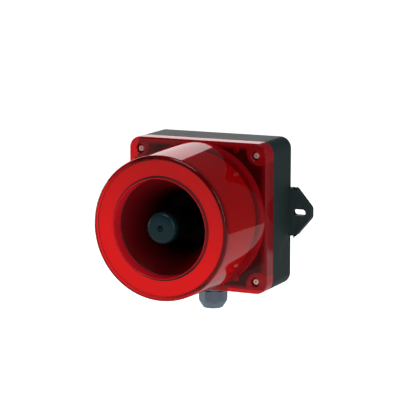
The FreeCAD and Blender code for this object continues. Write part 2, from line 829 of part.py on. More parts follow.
def driver():
    back = DIMENSIONS["magnet_back"]
    keep(turned("driver_yoke", [
        (0.0, depth("magnet_back")),
        (dim("magnet_radius"), depth("magnet_back")),
        (dim("magnet_radius"), depth("magnet_back", 4.0)),
        (9.5, depth("magnet_back", 4.0)),
        (9.5, depth("magnet_back", 18.0)),
        (0.0, depth("magnet_back", 18.0)),
    ]))
    keep(turned("driver_magnet", [
        (12.0, depth("magnet_back", 4.0)),
        (dim("magnet_radius"), depth("magnet_back", 4.0)),
        (dim("magnet_radius"), depth("magnet_back", 14.0)),
        (12.0, depth("magnet_back", 14.0)),
    ]))
    keep(turned("driver_top_plate", [
        (10.9, depth("magnet_back", 14.0)),
        (dim("magnet_radius"), depth("magnet_back", 14.0)),
        (dim("magnet_radius"), depth("magnet_back", 18.0)),
        (10.9, depth("magnet_back", 18.0)),
    ]))
    top = back + 18.0
    housing = turned("driver_housing", [
        (dim("throat_radius"), -37.6),
        (19.0, -37.0),
        (20.0, -36.0),
        (20.0, -top),
        (24.0, -top),
        (24.0, depth("chassis_back", -3.0)),
        (30.0, depth("chassis_back", -3.0)),
        (30.0, depth("chassis_back")),
        (dim("driver_hole", -0.1), depth("chassis_back")),
        (dim("driver_hole", -0.1), -42.0),
        (9.0, -42.0),
        (9.0, -50.0),
        (dim("throat_radius"), -50.0),
    ])
    bolts = sketch_on(housing, "XZ_Plane", dim("chassis_back"))
    for x, z in on_circle("driver_bolts", BOLTS_ON_A_CIRCLE, 30.0):
        circle(bolts, x, z, 1.3)
    cut(housing, bolts, 3.0)
    keep(housing)
    keep(turned("diaphragm", [
        (0.0, -35.0),
        (6.0, -35.0),
        (10.6, -33.0),
        (16.5, -33.0),
        (16.5, -33.5),
        (10.8, -33.5),
        (6.2, -35.5),
        (0.0, -35.5),
    ]))
    keep(turned("voice_coil", [
        (9.85, -24.5),
        (10.45, -24.5),
        (10.45, -33.0),
        (9.85, -33.0),
    ]))


# ---------------------------------------------------------------- electronics



def main_board():
    body = new_body("main_board")
    top, bottom = 46.0, -36.0

    def draw(sketch):
        half = dim("board_width")
        rectangle(sketch, signed(half, -1), half, bottom, top)
        for x, z in board_screw_places():
            circle(sketch, x, z, 1.6)

    slab(body, dim("board_back"), between(dim("board_back"), dim("board_front")), draw)
    return keep(body)


def terminals():
    """A push-wire terminal block: each button presses in to open the wire clamp under it."""
    front = dim("board_front")
    body = new_body("terminal_block")
    half_length = TERMINALS * TERMINAL_PITCH / 2
    centres = [TERMINAL_X + (i - (TERMINALS - 1) / 2) * TERMINAL_PITCH for i in range(TERMINALS)]
    well = BUTTON_WIDTH / 2 + RUNNING_CLEARANCE

    def solid(sketch):
        rectangle(sketch, TERMINAL_X - half_length, TERMINAL_X + half_length, TERMINAL_Z - 4.5, TERMINAL_Z + 5.0)

    def welled(sketch):
        solid(sketch)
        for x in centres:
            rectangle(sketch, x - well, x + well, TERMINAL_Z - well + 1.0, TERMINAL_Z + well + 1.0)

    slab(body, front, 4.0, solid)
    slab(body, dim("board_front", 4.0), 6.0, welled)
    entries = sketch_on(body, "XY_Plane", TERMINAL_Z - 4.5)
    for x in centres:
        circle(entries, x, depth("board_front", 2.2), 1.3)
    cut(body, entries, 5.0, reverse=True)
    keep(body)
    for number, x in enumerate(centres, start=1):
        keep(block(f"terminal_button_{number}", (x, TERMINAL_Z + 1.0), (BUTTON_WIDTH, BUTTON_WIDTH),
                   dim("board_front", 6.0), 6.0))


def rotary(label, rotor_label, x, z, size, height, rotor_radius):
    """A square adjuster with a slotted round rotor in its top."""
    body = new_body(label)
    bore = rotor_radius + RUNNING_CLEARANCE
    sink = 2.0

    def solid(sketch):
        rectangle(sketch, x - size / 2, x + size / 2, z - size / 2, z + size / 2)

    def bored(sketch):
        solid(sketch)
        circle(sketch, x, z, bore)

    slab(body, dim("board_front"), height - sink, solid)
    slab(body, dim("board_front", height - sink), sink, bored)
    keep(body)
    rotor = turned(rotor_label, [
        (0.0, depth("board_front", height - sink)),
        (rotor_radius, depth("board_front", height - sink)),
        (rotor_radius, depth("board_front", height + 0.6)),
        (0.0, depth("board_front", height + 0.6)),
    ], at=(x, 0.0, z))
    slot = sketch_on(rotor, "XZ_Plane", dim("board_front", height + 0.6))
    rectangle(slot, -rotor_radius * 0.7, rotor_radius * 0.7, -0.4, 0.4)
    cut(rotor, slot, 1.0)
    keep(rotor)


def components():
    front = dim("board_front")
    cans = []
    for z in (21.0, 33.0):
        cans.append(turned("can", [
            (0.0, depth("board_front")),
            (5.0, depth("board_front")),
            (5.0, depth("board_front", 12.0)),
            (0.0, depth("board_front", 12.0)),
        ], at=(37.0, 0.0, z)))
    together("capacitors", cans)
    core_x, core_z = -34.0, 25.0
    core = new_body("transformer_core")

    def frame(sketch):
        rectangle(sketch, core_x - 9.0, core_x + 9.0, core_z - 8.0, core_z + 8.0)
        rectangle(sketch, core_x - 6.5, core_x - 2.5, core_z - 5.0, core_z + 5.0)
        rectangle(sketch, core_x + 2.5, core_x + 6.5, core_z - 5.0, core_z + 5.0)

    slab(core, dim("board_front", 3.0), 7.0, frame)
    keep(core)
    coil = new_body("transformer_coil")

    def winding(sketch):
        rectangle(sketch, core_x - 6.5, core_x + 6.5, core_z - 5.0, core_z + 5.0)

    slab(coil, front, 3.0, winding)
    slab(coil, dim("board_front", 3.0), 7.0, lambda s: coil_legs(s, core_x, core_z))
    slab(coil, dim("board_front", 10.0), 2.0, winding)
    keep(coil)

    sink = new_body("heat_sink")
    fin_tops = []
    for i in range(5):
        left = -12.0 + i * 5.6
        fin_tops += [(left, 44.0), (left + 1.6, 44.0)]
        if i < 4:
            fin_tops += [(left + 1.6, 38.0), (left + 5.6, 38.0)]

    def fins(sketch):
        outline(sketch, [(12.0, 36.0), (-12.0, 36.0)] + fin_tops)

    slab(sink, front, 13.0, fins)
    keep(sink)
    keep(block("amplifier_chip", (0.0, 33.8), (10.0, 4.4), front, 10.0))
    keep(block("control_chip", (-35.0, 0.0), (10.0, 18.0), front, 3.5))
    together("board_connectors", [
        block("connector", at, (5.0, 8.0), front, CONNECTOR_HEIGHT)
        for at in ((SPEAKER_X, SPEAKER_Z), (LED_LEAD_X, LED_LEAD_Z))
    ])
    keep(block("driver_terminals", (27.3, 3.0), (4.0, 8.0), 29.5, 4.0))


def coil_legs(sketch, core_x, core_z):
    """The winding fills both windows of the core."""
    rectangle(sketch, core_x - 6.5, core_x - 2.5, core_z - 5.0, core_z + 5.0)
    rectangle(sketch, core_x + 2.5, core_x + 6.5, core_z - 5.0, core_z + 5.0)


def lead(points, radius, bend):
    """An insulated lead along straight runs joined by tangent arcs."""
    corners = [FreeCAD.Vector(*p) for p in points]
    edges = []
    start = corners[0]
    for before, corner, after in zip(corners, corners[1:], corners[2:]):
        arriving = (corner - before).normalize()
        leaving = (after - corner).normalize()
        half_turn = arriving.getAngle(leaving) / 2
        trim = bend * math.tan(half_turn)
        first, last = corner - arriving * trim, corner + leaving * trim
        inward = (leaving - arriving).normalize()
        centre = corner + inward * (bend / math.cos(half_turn))
        edges.append(Part.LineSegment(start, first).toShape())
        edges.append(Part.Arc(first, centre - inward * bend, last).toShape())
        start = last
    edges.append(Part.LineSegment(start, corners[-1]).toShape())
    path = Part.Wire(edges)
    direction = (corners[1] - corners[0]).normalize()
    section = Part.Wire(Part.makeCircle(radius, corners[0], direction))
    tube = path.makePipeShell([section], True, False)
    wanted = math.pi * radius ** 2 * path.Length
    assert abs(tube.Volume - wanted) < 0.02 * wanted, "the lead's volume must be its section times its length"
    return tube


def wire_leads(sheet):
    """A pair of leads from each connector: one to the driver and one to the LED board."""
    board = sheet.board_front + CONNECTOR_HEIGHT

    def to_driver(offset):
        z = SPEAKER_Z + offset
        return [(SPEAKER_X, -board, z), (SPEAKER_X, -(board + 5.0), z),
                (28.0, -(board + 7.0), z), (28.0, -29.5, z)]

    def to_leds(offset):
        z = LED_LEAD_Z + offset
        return [(LED_LEAD_X, -board, z), (LED_LEAD_X, -(board + 12.0), z),
                (LED_LEAD_X - 1.5, -(board + 28.0), z), (LED_LEAD_X - 1.5, -sheet.led_board_back, z)]

    feature = doc.addObject("Part::Feature", "wire_leads")
    feature.Shape = Part.makeCompound([
        lead(route(offset), LEAD_RADIUS, 4 * LEAD_RADIUS)
        for route in (to_driver, to_leds) for offset in (-2.0, 2.0)
    ])
    return keep(feature, "wire_leads")


# ---------------------------------------------------------------- cable gland

def hexagon(sketch, flats_alias):
    """A hexagon with two flats facing front and back."""
    across_corners = 2 / math.sqrt(3)
    corners = []
    for i in range(6):
        angle = math.radians(60 * i)
        factor = 0.5 * across_corners
        corners.append((dim(flats_alias, 0.0, factor * math.cos(angle)),
                        dim(flats_alias, 0.0, factor * math.sin(angle))))
    outline(sketch, corners)


def hex_piece(label, low, height, bore):
    """A hexagonal piece of the gland, from a height below the horn axis upwards, with a round bore."""
    body = new_body(label)
    sketch = sketch_on(body, "XY_Plane", low)
    hexagon(sketch, "gland_flats")
    circle(sketch, 0.0, 0.0, bore)
    grow(body, sketch, height)
    return body


def turn_away(body, corners):
    """Cut what the profile sweeps about the gland axis."""
    before = body.Shape.Volume
    sketch = sketch_on(body, "XZ_Plane")
    outline(sketch, corners)
    groove = body.newObject("PartDesign::Groove", "Groove")
    groove.Profile = sketch
    groove.ReferenceAxis = (sketch, ["V_Axis"])
    groove.Angle = 360
    body.Tip = groove
    doc.recompute()
    if not body.Shape.Volume < before:
        raise RuntimeError(f"{body.Label}: a groove cuts nothing")


def gland():
    at = (0.0, depth("gland_depth"), 0.0)
    wall_bottom = DIMENSIONS["case_width"] / 2
    wall_top = wall_bottom - DIMENSIONS["case_wall"]
    flange_top, flange_bottom = wall_bottom + 1.5, wall_bottom + 6.0
    thread = DIMENSIONS["gland_thread_radius"]
    nut_thread = thread - 1.0
    bottom = DIMENSIONS["gland_bottom"]

    body = hex_piece("gland_body", -flange_bottom, flange_bottom - flange_top, 6.5)
    for low, height, outer, bore in ((-flange_top, flange_top - wall_top + 8.5, thread, 6.5),
                                     (-80.0, 80.0 - flange_bottom, nut_thread - RUNNING_CLEARANCE, 7.5)):
        ring = sketch_on(body, "XY_Plane", low)
        circle(ring, 0.0, 0.0, outer)
        circle(ring, 0.0, 0.0, bore)
        grow(body, ring, height)
    place(body, at)
    keep(body)

    locknut = hex_piece("gland_locknut", -wall_top, 4.5, dim("gland_thread_radius"))
    place(locknut, at)
    keep(locknut)

    keep(turned("gland_washer", [
        (dim("gland_thread_radius"), -flange_top),
        (12.0, -flange_top),
        (12.0, -wall_bottom),
        (dim("gland_thread_radius"), -wall_bottom),
    ], "XZ_Plane", at))
    keep(turned("gland_seal", [
        (dim("cable_radius"), -81.0),
        (7.5, -81.0),
        (7.5, -flange_bottom),
        (dim("cable_radius"), -flange_bottom),
    ], "XZ_Plane", at))
    keep(turned("gland_slip_ring", [
        (dim("cable_radius", 0.6), -82.2),
        (nut_thread - 0.2, -82.2),
        (nut_thread - 0.2, -81.2),
        (dim("cable_radius", 0.6), -81.2),
    ], "XZ_Plane", at))

    nut_top = flange_bottom + 0.5
    nut = hex_piece("gland_nut", -bottom, bottom - nut_top, 6.6)
    turn_away(nut, [(0.0, -82.3), (nut_thread, -82.3), (nut_thread, -nut_top + 1.0), (0.0, -nut_top + 1.0)])
    edge = 12.7
    turn_away(nut, [
        (edge, -nut_top + 1.0), (edge, -(bottom - 6.5), -8.0),
        (edge - 4.0, -bottom), (edge - 4.0, -(bottom + 1.0)), (edge + 3.0, -(bottom + 1.0)),
        (edge + 3.0, -nut_top + 1.0),
    ])
    place(nut, at)
    keep(nut)


# ---------------------------------------------------------------- assembly

def build():
    sheet = make_sheet()
    base_housing()
    threaded_inserts()
    cover_gasket()
    chassis_plate()
    corner_places = [(dim("chassis_post_x", 0.0, sx), dim("chassis_post_z", 0.0, sz))
                     for sx, sz in corner_signs()]
    fasteners("chassis_screws", corner_places, 2.7, DIMENSIONS["chassis_front"], 2.0, 27.0,
              DIMENSIONS["screw_radius"] - 0.1)
    lens_cover()
    beacon_lens()
    light_ring(sheet)
    cover_screw_pieces()
    led_board()
    beacon_leds()
    fasteners("led_board_screws", on_circle("led_post_circle", BOLTS_ON_A_CIRCLE, 45.0), 2.4,
              DIMENSIONS["led_board_front"], 1.8, 54.0, 1.25)
    diffuser_drum()
    horn_base()
    horn_bell()
    fasteners("bell_screws", on_circle("bell_bolts", BOLTS_ON_A_CIRCLE), 2.4,
              DIMENSIONS["chassis_front"] + DIMENSIONS["foot_height"], 1.8, DIMENSIONS["chassis_back"], 1.25)
    mouth_seal()
    tone_tube()
    horn_reflector()
    reflector_screw()
    driver()
    driver_screws()
    main_board()
    fasteners("board_screws", board_screw_places(), 2.4, DIMENSIONS["board_front"], 1.8, 4.0, 1.25)
    terminals()
    rotary("tone_selector", "tone_rotor", 24.0, -27.0, 10.0, 5.0, 3.6)
    rotary("volume_trimmer", "volume_rotor", -24.0, -27.0, 9.0, 5.0, 3.0)
    components()
    wire_leads(sheet)
    gland()


def driver_screws():
    """Screws that come up through the driver's flange into the chassis, heads towards the wall."""
    pieces = []
    flange_back = DIMENSIONS["chassis_back"] - 3.0
    for x, z in on_circle("driver_bolts", BOLTS_ON_A_CIRCLE, 30.0):
        pieces.append(turned("screw", [
            (0.0, -(flange_back - 1.8)),
            (2.3, -(flange_back - 1.8)),
            (2.3, -flange_back),
            (1.25, -flange_back),
            (1.25, depth("chassis_front")),
            (0.0, depth("chassis_front")),
        ], at=(x, 0.0, z)))
    return together("driver_screws", pieces)


def check_and_write():
    doc.recompute()
    for item in doc.Objects:
        if "Invalid" in item.State or "Error" in item.State:
            raise RuntimeError(f"{item.Label} failed to compute")
    os.makedirs("parts", exist_ok=True)
    for piece in subparts:
        shape = piece.Shape
        if shape.isNull() or not shape.isValid() or shape.Volume <= 0:
            raise RuntimeError(f"{piece.Label} has no valid solid")
        shape.exportStep(f"parts/{piece.Label}.step")
        print(f"{piece.Label}: {len(shape.Solids)} solid(s), {shape.Volume:.1f} mm3")
    print(len(subparts), "nodes written")


build()
check_and_write()
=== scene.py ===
import math

import bmesh
import bpy
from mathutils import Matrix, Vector


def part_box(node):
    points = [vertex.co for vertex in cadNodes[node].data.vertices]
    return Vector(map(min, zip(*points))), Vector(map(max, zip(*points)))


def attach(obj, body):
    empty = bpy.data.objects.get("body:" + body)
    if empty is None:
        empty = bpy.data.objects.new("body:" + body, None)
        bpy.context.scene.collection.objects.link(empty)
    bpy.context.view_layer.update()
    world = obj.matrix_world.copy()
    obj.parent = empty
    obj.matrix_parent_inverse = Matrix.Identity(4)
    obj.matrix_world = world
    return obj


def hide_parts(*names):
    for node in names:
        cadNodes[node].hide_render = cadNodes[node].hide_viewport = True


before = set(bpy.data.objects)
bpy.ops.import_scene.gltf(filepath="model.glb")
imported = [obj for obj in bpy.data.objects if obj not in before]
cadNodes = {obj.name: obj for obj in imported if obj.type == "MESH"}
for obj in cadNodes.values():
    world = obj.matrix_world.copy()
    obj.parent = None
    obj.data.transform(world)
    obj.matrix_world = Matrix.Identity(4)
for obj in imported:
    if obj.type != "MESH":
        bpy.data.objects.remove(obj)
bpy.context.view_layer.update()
mm = 0.001
print("frame loaded:", len(cadNodes), "CAD nodes")


# ways of working

def makeActive(piece):
    bpy.ops.object.select_all(action="DESELECT")
    piece.select_set(True)
    bpy.context.view_layer.objects.active = piece


def settle(piece):  # the place goes into the mesh, and the origin to the frame's origin
    makeActive(piece)
    bpy.ops.object.transform_apply(location=True, rotation=True, scale=True)
    return piece


def softened(profile, steps, closed):  # a corner with a third number is rounded to that radius
    points = []
    count = len(profile)
    for i, corner in enumerate(profile):
        here = Vector(corner[:2])
        radius = corner[2] if len(corner) > 2 else 0
        if not radius or (not closed and i in (0, count - 1)):
            points.append(here)
            continue
        before = Vector(profile[i - 1][:2]) - here
        after = Vector(profile[(i + 1) % count][:2]) - here
        half = before.angle(after) / 2
        inward = (before.normalized() + after.normalized()).normalized()
        middle = here + inward * (radius / math.sin(half))
        reach = radius / math.tan(half)
        start = here + before.normalized() * reach - middle
        end = here + after.normalized() * reach - middle
        sweep = math.pi - 2 * half
        for step in range(steps + 1):
            share = step / steps
            blend = start * math.sin((1 - share) * sweep) + end * math.sin(share * sweep)
            points.append(middle + blend / math.sin(sweep))
    return points


def arcPoints(centre, radius, startDegrees, endDegrees, steps):
    angles = [math.radians(startDegrees + (endDegrees - startDegrees) * i / steps) for i in range(steps + 1)]
    return [(centre[0] + radius * math.cos(a), centre[1] + radius * math.sin(a)) for a in angles]


# a circle is extruded and scaled from ring to ring; profile corners are (radius, distance along the axis) in mm
def lathe(name, profile, centre=(0, 0), axis="Y", segments=96, bored=True, steps=5):
    rings = softened(profile, steps, bored)
    if bored:
        rings.append(rings[0])

    def onAxis(along):
        place = (centre[0], -along, centre[1]) if axis == "Y" else (centre[0], centre[1], along)
        return Vector(place) * mm

    turn = (math.pi / 2, 0, 0) if axis == "Y" else (0, 0, 0)
    bpy.ops.object.select_all(action="DESELECT")
    bpy.ops.mesh.primitive_circle_add(vertices=segments, radius=rings[0][0] * mm, location=onAxis(rings[0][1]),
                                      rotation=turn, fill_type="NOTHING" if bored else "NGON")
    piece = settle(bpy.context.object)
    piece.name = piece.data.name = name
    bpy.ops.object.mode_set(mode="EDIT")
    bpy.ops.mesh.select_mode(type="VERT")
    bpy.ops.mesh.select_all(action="SELECT")
    for last, ring in zip(rings, rings[1:]):
        step = onAxis(ring[1]) - onAxis(last[1])
        bpy.ops.mesh.extrude_region_move(TRANSFORM_OT_translate={"value": step})
        scale = ring[0] / last[0]
        value = (scale, 1, scale) if axis == "Y" else (scale, scale, 1)
        bpy.ops.transform.resize(value=value, center_override=onAxis(ring[1]))
    bpy.ops.mesh.select_all(action="SELECT")
    bpy.ops.mesh.remove_doubles(threshold=0.002 * mm)
    bpy.ops.mesh.normals_make_consistent(inside=False)
    bpy.ops.object.mode_set(mode="OBJECT")
    return piece


def pickEdges(piece, wanted):
    bpy.ops.mesh.select_mode(type="EDGE")
    bpy.ops.mesh.select_all(action="DESELECT")
    mesh = bmesh.from_edit_mesh(piece.data)
    for edge in mesh.edges:
        edge.select_set(wanted(edge.verts[0].co, edge.verts[1].co))
    mesh.select_flush_mode()
    bmesh.update_edit_mesh(piece.data)


# a block between two corners in mm, with its edges along one axis rounded, and then the outlines of its ends
def block(name, low, high, corner=0, lowEdge=0, highEdge=0, axis=1, segments=10, edgeSteps=4):
    low, high = Vector(low) * mm, Vector(high) * mm
    bpy.ops.object.select_all(action="DESELECT")
    bpy.ops.mesh.primitive_cube_add(size=1, location=(low + high) / 2)
    piece = bpy.context.object
    piece.scale = high - low
    settle(piece)
    piece.name = piece.data.name = name
    bpy.ops.object.mode_set(mode="EDIT")
    if corner:
        pickEdges(piece, lambda a, b: abs(a[axis] - b[axis]) > 1e-6)
        bpy.ops.mesh.bevel(offset=corner * mm, segments=segments, affect="EDGES")
    for place, size in ((low[axis], lowEdge), (high[axis], highEdge)):
        if size:
            pickEdges(piece, lambda a, b: abs(a[axis] - place) < 1e-6 and abs(b[axis] - place) < 1e-6)
            bpy.ops.mesh.bevel(offset=size * mm, segments=edgeSteps, affect="EDGES")
    bpy.ops.object.mode_set(mode="OBJECT")
    return piece


def combine(piece, tool, operation="DIFFERENCE"):
    modifier = piece.modifiers.new(operation, "BOOLEAN")
    modifier.object = tool
    modifier.operation = operation
    modifier.solver = "EXACT"
    makeActive(piece)
    bpy.ops.object.modifier_apply(modifier=modifier.name)
    bpy.data.objects.remove(tool)
    return piece


def copyAt(piece, name, offset):  # offset in mm
    twin = piece.copy()
    twin.data = piece.data.copy()
    twin.name = twin.data.name = name
    bpy.context.scene.collection.objects.link(twin)
    twin.location = Vector(offset) * mm
    return settle(twin)


def join(pieces, name):
    makeActive(pieces[0])
    for other in pieces[1:]:
        other.select_set(True)
    bpy.ops.object.join()
    piece = bpy.context.object
    piece.name = piece.data.name = name
    return piece


def finishPiece(piece, material, body, slot, *stoodFor, angle=32):
    makeActive(piece)
    bpy.ops.object.shade_smooth_by_angle(angle=math.radians(angle))
    weighted = piece.modifiers.new("WeightedNormals", "WEIGHTED_NORMAL")
    weighted.keep_sharp = True
    bpy.ops.object.modifier_apply(modifier=weighted.name)
    piece.data.materials.clear()
    piece.data.materials.append(material)
    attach(piece, body)
    if stoodFor:
        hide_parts(*stoodFor)
    return piece


cornerSigns = [(sx, sz) for sz in (1, -1) for sx in (-1, 1)]


# shader parts that several materials share

def newGroup(name, inputs, outputs):
    group = bpy.data.node_groups.new(name, "ShaderNodeTree")
    for title, kind, value in inputs:
        socket = group.interface.new_socket(title, in_out="INPUT", socket_type=kind)
        if value is not None:
            socket.default_value = value
    for title, kind in outputs:
        group.interface.new_socket(title, in_out="OUTPUT", socket_type=kind)
    start = group.nodes.new("NodeGroupInput")
    end = group.nodes.new("NodeGroupOutput")
    return group, start, end


def mathNode(tree, operation, first, second=None, clamp=False):
    node = tree.nodes.new("ShaderNodeMath")
    node.operation = operation
    node.use_clamp = clamp
    for socket, value in zip(node.inputs, (first, second)):
        if value is None:
            continue
        if isinstance(value, (int, float)):
            socket.default_value = value
        else:
            tree.links.new(value, socket)
    return node.outputs[0]


def noiseNode(tree, vector, scale, detail, roughness=0.5):
    node = tree.nodes.new("ShaderNodeTexNoise")
    node.inputs["Detail"].default_value = detail
    node.inputs["Roughness"].default_value = roughness
    if isinstance(scale, (int, float)):
        node.inputs["Scale"].default_value = scale
    else:
        tree.links.new(scale, node.inputs["Scale"])
    tree.links.new(vector, node.inputs["Vector"])
    return node.outputs["Fac"]


def rampNode(tree, value, low, high, lowValue=0.0, highValue=1.0):
    node = tree.nodes.new("ShaderNodeMapRange")
    node.inputs["From Min"].default_value = low
    node.inputs["From Max"].default_value = high
    node.inputs["To Min"].default_value = lowValue
    node.inputs["To Max"].default_value = highValue
    tree.links.new(value, node.inputs["Value"])
    return node.outputs["Result"]


def axisOf(tree, vector, axis):
    split = tree.nodes.new("ShaderNodeSeparateXYZ")
    tree.links.new(vector, split.inputs["Vector"])
    return split.outputs[axis]


def makeMouldedSurface():  # fine grain, slow shade drift and light handling marks of moulded plastic
    group, start, end = newGroup(
        "mouldedSurface",
        [("Vector", "NodeSocketVector", None), ("Grain Scale", "NodeSocketFloat", 900.0),
         ("Grain Depth", "NodeSocketFloat", 0.2), ("Roughness", "NodeSocketFloat", 0.3),
         ("Roughness Drift", "NodeSocketFloat", 0.08), ("Color", "NodeSocketColor", (0.5, 0.5, 0.5, 1)),
         ("Color Drift", "NodeSocketFloat", 0.06)],
        [("Color", "NodeSocketColor"), ("Roughness", "NodeSocketFloat"), ("Height", "NodeSocketFloat")],
    )
    grain = noiseNode(group, start.outputs["Vector"], start.outputs["Grain Scale"], 3.0)
    cloud = noiseNode(group, start.outputs["Vector"], 28.0, 4.0, 0.6)
    marks = rampNode(group, noiseNode(group, start.outputs["Vector"], 120.0, 6.0, 0.7), 0.58, 0.72)
    drift = mathNode(group, "MULTIPLY", mathNode(group, "SUBTRACT", cloud, 0.5), start.outputs["Roughness Drift"])
    marked = mathNode(group, "MULTIPLY", marks, mathNode(group, "MULTIPLY", start.outputs["Roughness Drift"], 0.6))
    total = mathNode(group, "ADD", start.outputs["Roughness"], mathNode(group, "ADD", drift, marked))
    group.links.new(total, end.inputs["Roughness"])
    group.links.new(mathNode(group, "MULTIPLY", grain, start.outputs["Grain Depth"]), end.inputs["Height"])
    shade = mathNode(group, "MULTIPLY", mathNode(group, "SUBTRACT", cloud, 0.5), start.outputs["Color Drift"])
    tint = group.nodes.new("ShaderNodeHueSaturation")
    group.links.new(mathNode(group, "ADD", shade, 1.0), tint.inputs["Value"])
    group.links.new(start.outputs["Color"], tint.inputs["Color"])
    group.links.new(tint.outputs["Color"], end.inputs["Color"])
    return group


def makeDust():  # a mask of settled dust on faces that look up
    group, start, end = newGroup(
        "settledDust",
        [("Vector", "NodeSocketVector", None), ("Amount", "NodeSocketFloat", 0.15)],
        [("Mask", "NodeSocketFloat")],
    )
    geometry = group.nodes.new("ShaderNodeNewGeometry")
    up = rampNode(group, axisOf(group, geometry.outputs["Normal"], "Z"), 0.75, 1.0)
    specks = rampNode(group, noiseNode(group, start.outputs["Vector"], 350.0, 8.0, 0.75), 0.45, 0.75)
    mask = mathNode(group, "MULTIPLY", mathNode(group, "MULTIPLY", up, specks), start.outputs["Amount"])
    group.links.new(mask, end.inputs["Mask"])
    return group


def makeEdgeWear():  # brighter, smoother edges where hands and tools rub
    group, start, end = newGroup(
        "edgeWear",
        [("Vector", "NodeSocketVector", None), ("Amount", "NodeSocketFloat", 0.5)],
        [("Mask", "NodeSocketFloat")],
    )
    geometry = group.nodes.new("ShaderNodeNewGeometry")
    edge = rampNode(group, geometry.outputs["Pointiness"], 0.52, 0.6)
    broken = rampNode(group, noiseNode(group, start.outputs["Vector"], 260.0, 5.0, 0.65), 0.4, 0.65)
    mask = mathNode(group, "MULTIPLY", mathNode(group, "MULTIPLY", edge, broken), start.outputs["Amount"])
    group.links.new(mask, end.inputs["Mask"])
    return group


mouldedSurface = makeMouldedSurface()
settledDust = makeDust()
edgeWear = makeEdgeWear()


def newMaterial(name):
    material = bpy.data.materials.new(name)
    material.use_nodes = True
    tree = material.node_tree
    tree.nodes.clear()
    output = tree.nodes.new("ShaderNodeOutputMaterial")
    coordinates = tree.nodes.new("ShaderNodeTexCoord")
    return material, tree, output, coordinates.outputs["Object"]


def placeGroup(tree, group, vector, **values):
    node = tree.nodes.new("ShaderNodeGroup")
    node.node_tree = group
    tree.links.new(vector, node.inputs["Vector"])
    for title, value in values.items():
        node.inputs[title.replace("_", " ")].default_value = value
    return node


def bumpNode(tree, height, strength, distance):
    bump = tree.nodes.new("ShaderNodeBump")
    bump.inputs["Strength"].default_value = strength
    bump.inputs["Distance"].default_value = distance
    tree.links.new(height, bump.inputs["Height"])
    return bump.outputs["Normal"]


def mixColor(tree, mask, first, second):
    mix = tree.nodes.new("ShaderNodeMix")
    mix.data_type = "RGBA"
    for socket, value in ((mix.inputs["Factor"], mask), (mix.inputs["A"], first), (mix.inputs["B"], second)):
        if isinstance(value, (tuple, int, float)):
            socket.default_value = value
        else:
            tree.links.new(value, socket)
    return mix.outputs["Result"]


def principled(tree, output, **values):
    shader = tree.nodes.new("ShaderNodeBsdfPrincipled")
    for title, value in values.items():
        shader.inputs[title.replace("_", " ")].default_value = value
    if output:
        tree.links.new(shader.outputs["BSDF"], output.inputs["Surface"])
    return shader


def plasticMaterial(name, color, roughness, grainDepth=0.3, grainScale=900.0, dust=0.1, wear=0.0,
                    wearColor=(0.3, 0.3, 0.3, 1), bump=0.25, **sockets):
    material, tree, output, vector = newMaterial(name)
    shader = principled(tree, output, **sockets)
    surface = placeGroup(tree, mouldedSurface, vector, Color=(*color, 1), Roughness=roughness,
                         Grain_Depth=grainDepth, Grain_Scale=grainScale)
    base = surface.outputs["Color"]
    rough = surface.outputs["Roughness"]
    if wear:
        mask = placeGroup(tree, edgeWear, vector, Amount=wear).outputs["Mask"]
        base = mixColor(tree, mask, base, wearColor)
    if dust:
        mask = placeGroup(tree, settledDust, vector, Amount=dust).outputs["Mask"]
        base = mixColor(tree, mask, base, (0.45, 0.43, 0.4, 1))
        rough = mathNode(tree, "ADD", rough, mathNode(tree, "MULTIPLY", mask, 0.5))
    tree.links.new(base, shader.inputs["Base Color"])
    tree.links.new(rough, shader.inputs["Roughness"])
    tree.links.new(bumpNode(tree, surface.outputs["Height"], bump, 0.05 * mm), shader.inputs["Normal"])
    return material


def paintShadeTowards(material, start, end, least):  # painted shade: duller and darker deep in the horn, from one depth in mm to another, where little light reaches
    tree = material.node_tree
    shader = next(n for n in tree.nodes if n.type == "BSDF_PRINCIPLED")
    vector = next(n for n in tree.nodes if n.type == "TEX_COORD").outputs["Object"]
    mask = rampNode(tree, axisOf(tree, vector, "Y"), -end * mm, -start * mm, 1.0, 0.0)
    base = shader.inputs["Base Color"].links[0].from_socket
    rough = shader.inputs["Roughness"].links[0].from_socket
    shade = tree.nodes.new("ShaderNodeHueSaturation")
    shade.inputs["Value"].default_value = least
    tree.links.new(base, shade.inputs["Color"])
    tree.links.new(mixColor(tree, mask, base, shade.outputs["Color"]), shader.inputs["Base Color"])
    tree.links.new(mathNode(tree, "ADD", rough, mathNode(tree, "MULTIPLY", mask, 0.3)), shader.inputs["Roughness"])


def metalMaterial(name, color, roughness, drift=0.15, brushScale=0.0, **sockets):
    material, tree, output, vector = newMaterial(name)
    shader = principled(tree, output, Metallic=1.0, **sockets)
    surface = placeGroup(tree, mouldedSurface, vector, Color=(*color, 1), Roughness=roughness,
                         Roughness_Drift=drift, Color_Drift=0.2, Grain_Scale=1500.0, Grain_Depth=0.3)
    height = surface.outputs["Height"]
    if brushScale:
        stretch = tree.nodes.new("ShaderNodeMapping")
        stretch.inputs["Scale"].default_value = (1.0, 1.0, 0.05)
        tree.links.new(vector, stretch.inputs["Vector"])
        height = noiseNode(tree, stretch.outputs["Vector"], brushScale, 4.0)
    tree.links.new(surface.outputs["Color"], shader.inputs["Base Color"])
    tree.links.new(surface.outputs["Roughness"], shader.inputs["Roughness"])
    tree.links.new(bumpNode(tree, height, 0.2, 0.03 * mm), shader.inputs["Normal"])
    return material


